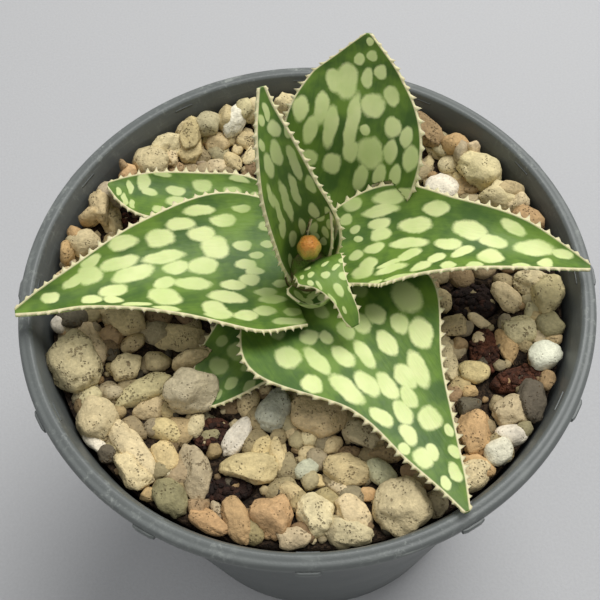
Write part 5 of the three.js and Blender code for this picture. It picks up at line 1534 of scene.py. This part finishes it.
class ALOE_OT_heart(bpy.types.Operator):
    """Builds the stem and the small bud at the heart of the rosette"""

    bl_idname = "aloe.heart"
    bl_label = "Stem and bud"

    def execute(self, context):
        settings = context.scene.aloe_heart
        vertices, faces = stem_shape(0.0, 56)
        stem = new_mesh("stem_body", metres(vertices), faces)
        outward(stem)
        show(stem, "short_stem", stem_material(settings), "stem", "stem")
        vertices, faces = bud_shape(0.0, 72, 1.0)
        bud = new_mesh("bud_body", metres(vertices), faces)
        outward(bud)
        low = BUD_MIDDLE[2] - BUD_HALF_LENGTH
        set_floats(bud, "rise", [(z - low) / (2 * BUD_HALF_LENGTH) for _, _, z in vertices])
        show(bud, "small_bud", bud_material(settings), "bud", "bud")
        return {"FINISHED"}


# Stage

EYE = Vector((-1.02, -80.9, 227.0)) * MM
AIM = Vector((-1.02, -4.13, 92.5)) * MM
ROLL = math.radians(-3.99)
LENS = 54.0
TABLE_REACH = 3.0
KEY_PLACE = (0.22, 0.28, 0.74)
KEY_SIZE = 0.5
FILL_PLACE = (-0.5, -0.5, 0.9)
FILL_SIZE = 0.9
FILL_SHARE = 0.14
ROOM_COLOUR = (0.95, 0.97, 1.0, 1)
ROOM_STRENGTH = 0.43
LIT_POINT = (0, 0, 0.08)


class ALOE_OT_stage(bpy.types.Operator):
    """Sets out the table, the soft light and the camera"""

    bl_idname = "aloe.stage"
    bl_label = "Stage"

    def execute(self, context):
        settings = context.scene.aloe_stage
        scene = context.scene
        corners = [(x * TABLE_REACH, y * TABLE_REACH, 0) for x, y in ((-1, -1), (1, -1), (1, 1), (-1, 1))]
        mesh = new_mesh("table", corners, [(0, 1, 2, 3)])
        mesh.materials.append(table_material(settings))
        table = bpy.data.objects.new("table", mesh)
        scene.collection.objects.link(table)
        self.light(scene, "key", KEY_PLACE, KEY_SIZE, settings.key_power)
        self.light(scene, "fill", FILL_PLACE, FILL_SIZE, settings.key_power * FILL_SHARE)
        world = bpy.data.worlds.new("soft_room")
        world.use_nodes = True
        background = world.node_tree.nodes["Background"]
        background.inputs["Color"].default_value = ROOM_COLOUR
        background.inputs["Strength"].default_value = ROOM_STRENGTH
        scene.world = world
        scene.view_settings.view_transform = "Standard"
        camera = bpy.data.objects.new("camera", bpy.data.cameras.new("camera"))
        camera.data.lens = LENS
        camera.data.sensor_width = 36
        camera.data.clip_start = 0.01
        forward = (AIM - EYE).normalized()
        right = forward.cross(Vector((0, 0, 1))).normalized()
        up = right.cross(forward)
        level = right * math.cos(ROLL) + up * math.sin(ROLL)
        over = up * math.cos(ROLL) - right * math.sin(ROLL)
        camera.matrix_world = Matrix((
            (level.x, over.x, -forward.x, EYE.x), (level.y, over.y, -forward.y, EYE.y),
            (level.z, over.z, -forward.z, EYE.z), (0, 0, 0, 1)))
        scene.collection.objects.link(camera)
        scene.camera = camera
        return {"FINISHED"}

    def light(self, scene, name, place, size, power):
        lamp = bpy.data.objects.new(name, bpy.data.lights.new(name, "AREA"))
        lamp.data.shape = "DISK"
        lamp.data.size = size
        lamp.data.energy = power
        lamp.location = place
        lamp.rotation_euler = (Vector(LIT_POINT) - Vector(place)).to_track_quat("-Z", "Y").to_euler()
        scene.collection.objects.link(lamp)


class ALOE_PT_panel(bpy.types.Panel):
    """Sizes, colours and steps of the potted aloe"""

    bl_idname = "ALOE_PT_panel"
    bl_label = "Potted aloe"
    bl_space_type = "VIEW_3D"
    bl_region_type = "UI"
    bl_category = "Aloe"

    def draw(self, context):
        for operator, attribute, group in STEPS:
            box = self.layout.box()
            box.operator(operator.bl_idname)
            for field in group.__annotations__:
                box.prop(getattr(context.scene, attribute), field)


STEPS = (
    (ALOE_OT_pot, "aloe_pot", PotSettings),
    (ALOE_OT_soil, "aloe_soil", SoilSettings),
    (ALOE_OT_leaves, "aloe_leaf", LeafSettings),
    (ALOE_OT_heart, "aloe_heart", HeartSettings),
    (ALOE_OT_gravel, "aloe_gravel", GravelSettings),
    (ALOE_OT_stage, "aloe_stage", StageSettings),
)


def register():
    for operator, attribute, group in STEPS:
        bpy.utils.register_class(group)
        setattr(bpy.types.Scene, attribute, PointerProperty(type=group))
        bpy.utils.register_class(operator)
    bpy.utils.register_class(ALOE_PT_panel)


def unregister():
    bpy.utils.unregister_class(ALOE_PT_panel)
    for operator, attribute, group in reversed(STEPS):
        bpy.utils.unregister_class(operator)
        delattr(bpy.types.Scene, attribute)
        bpy.utils.unregister_class(group)


def main():
    register()
    build_groups()
    bpy.ops.aloe.pot()
    bpy.ops.aloe.soil()
    bpy.ops.aloe.leaves()
    bpy.ops.aloe.heart()
    bpy.ops.aloe.gravel()
    bpy.ops.aloe.stage()


if __name__ == "__main__":
    main()
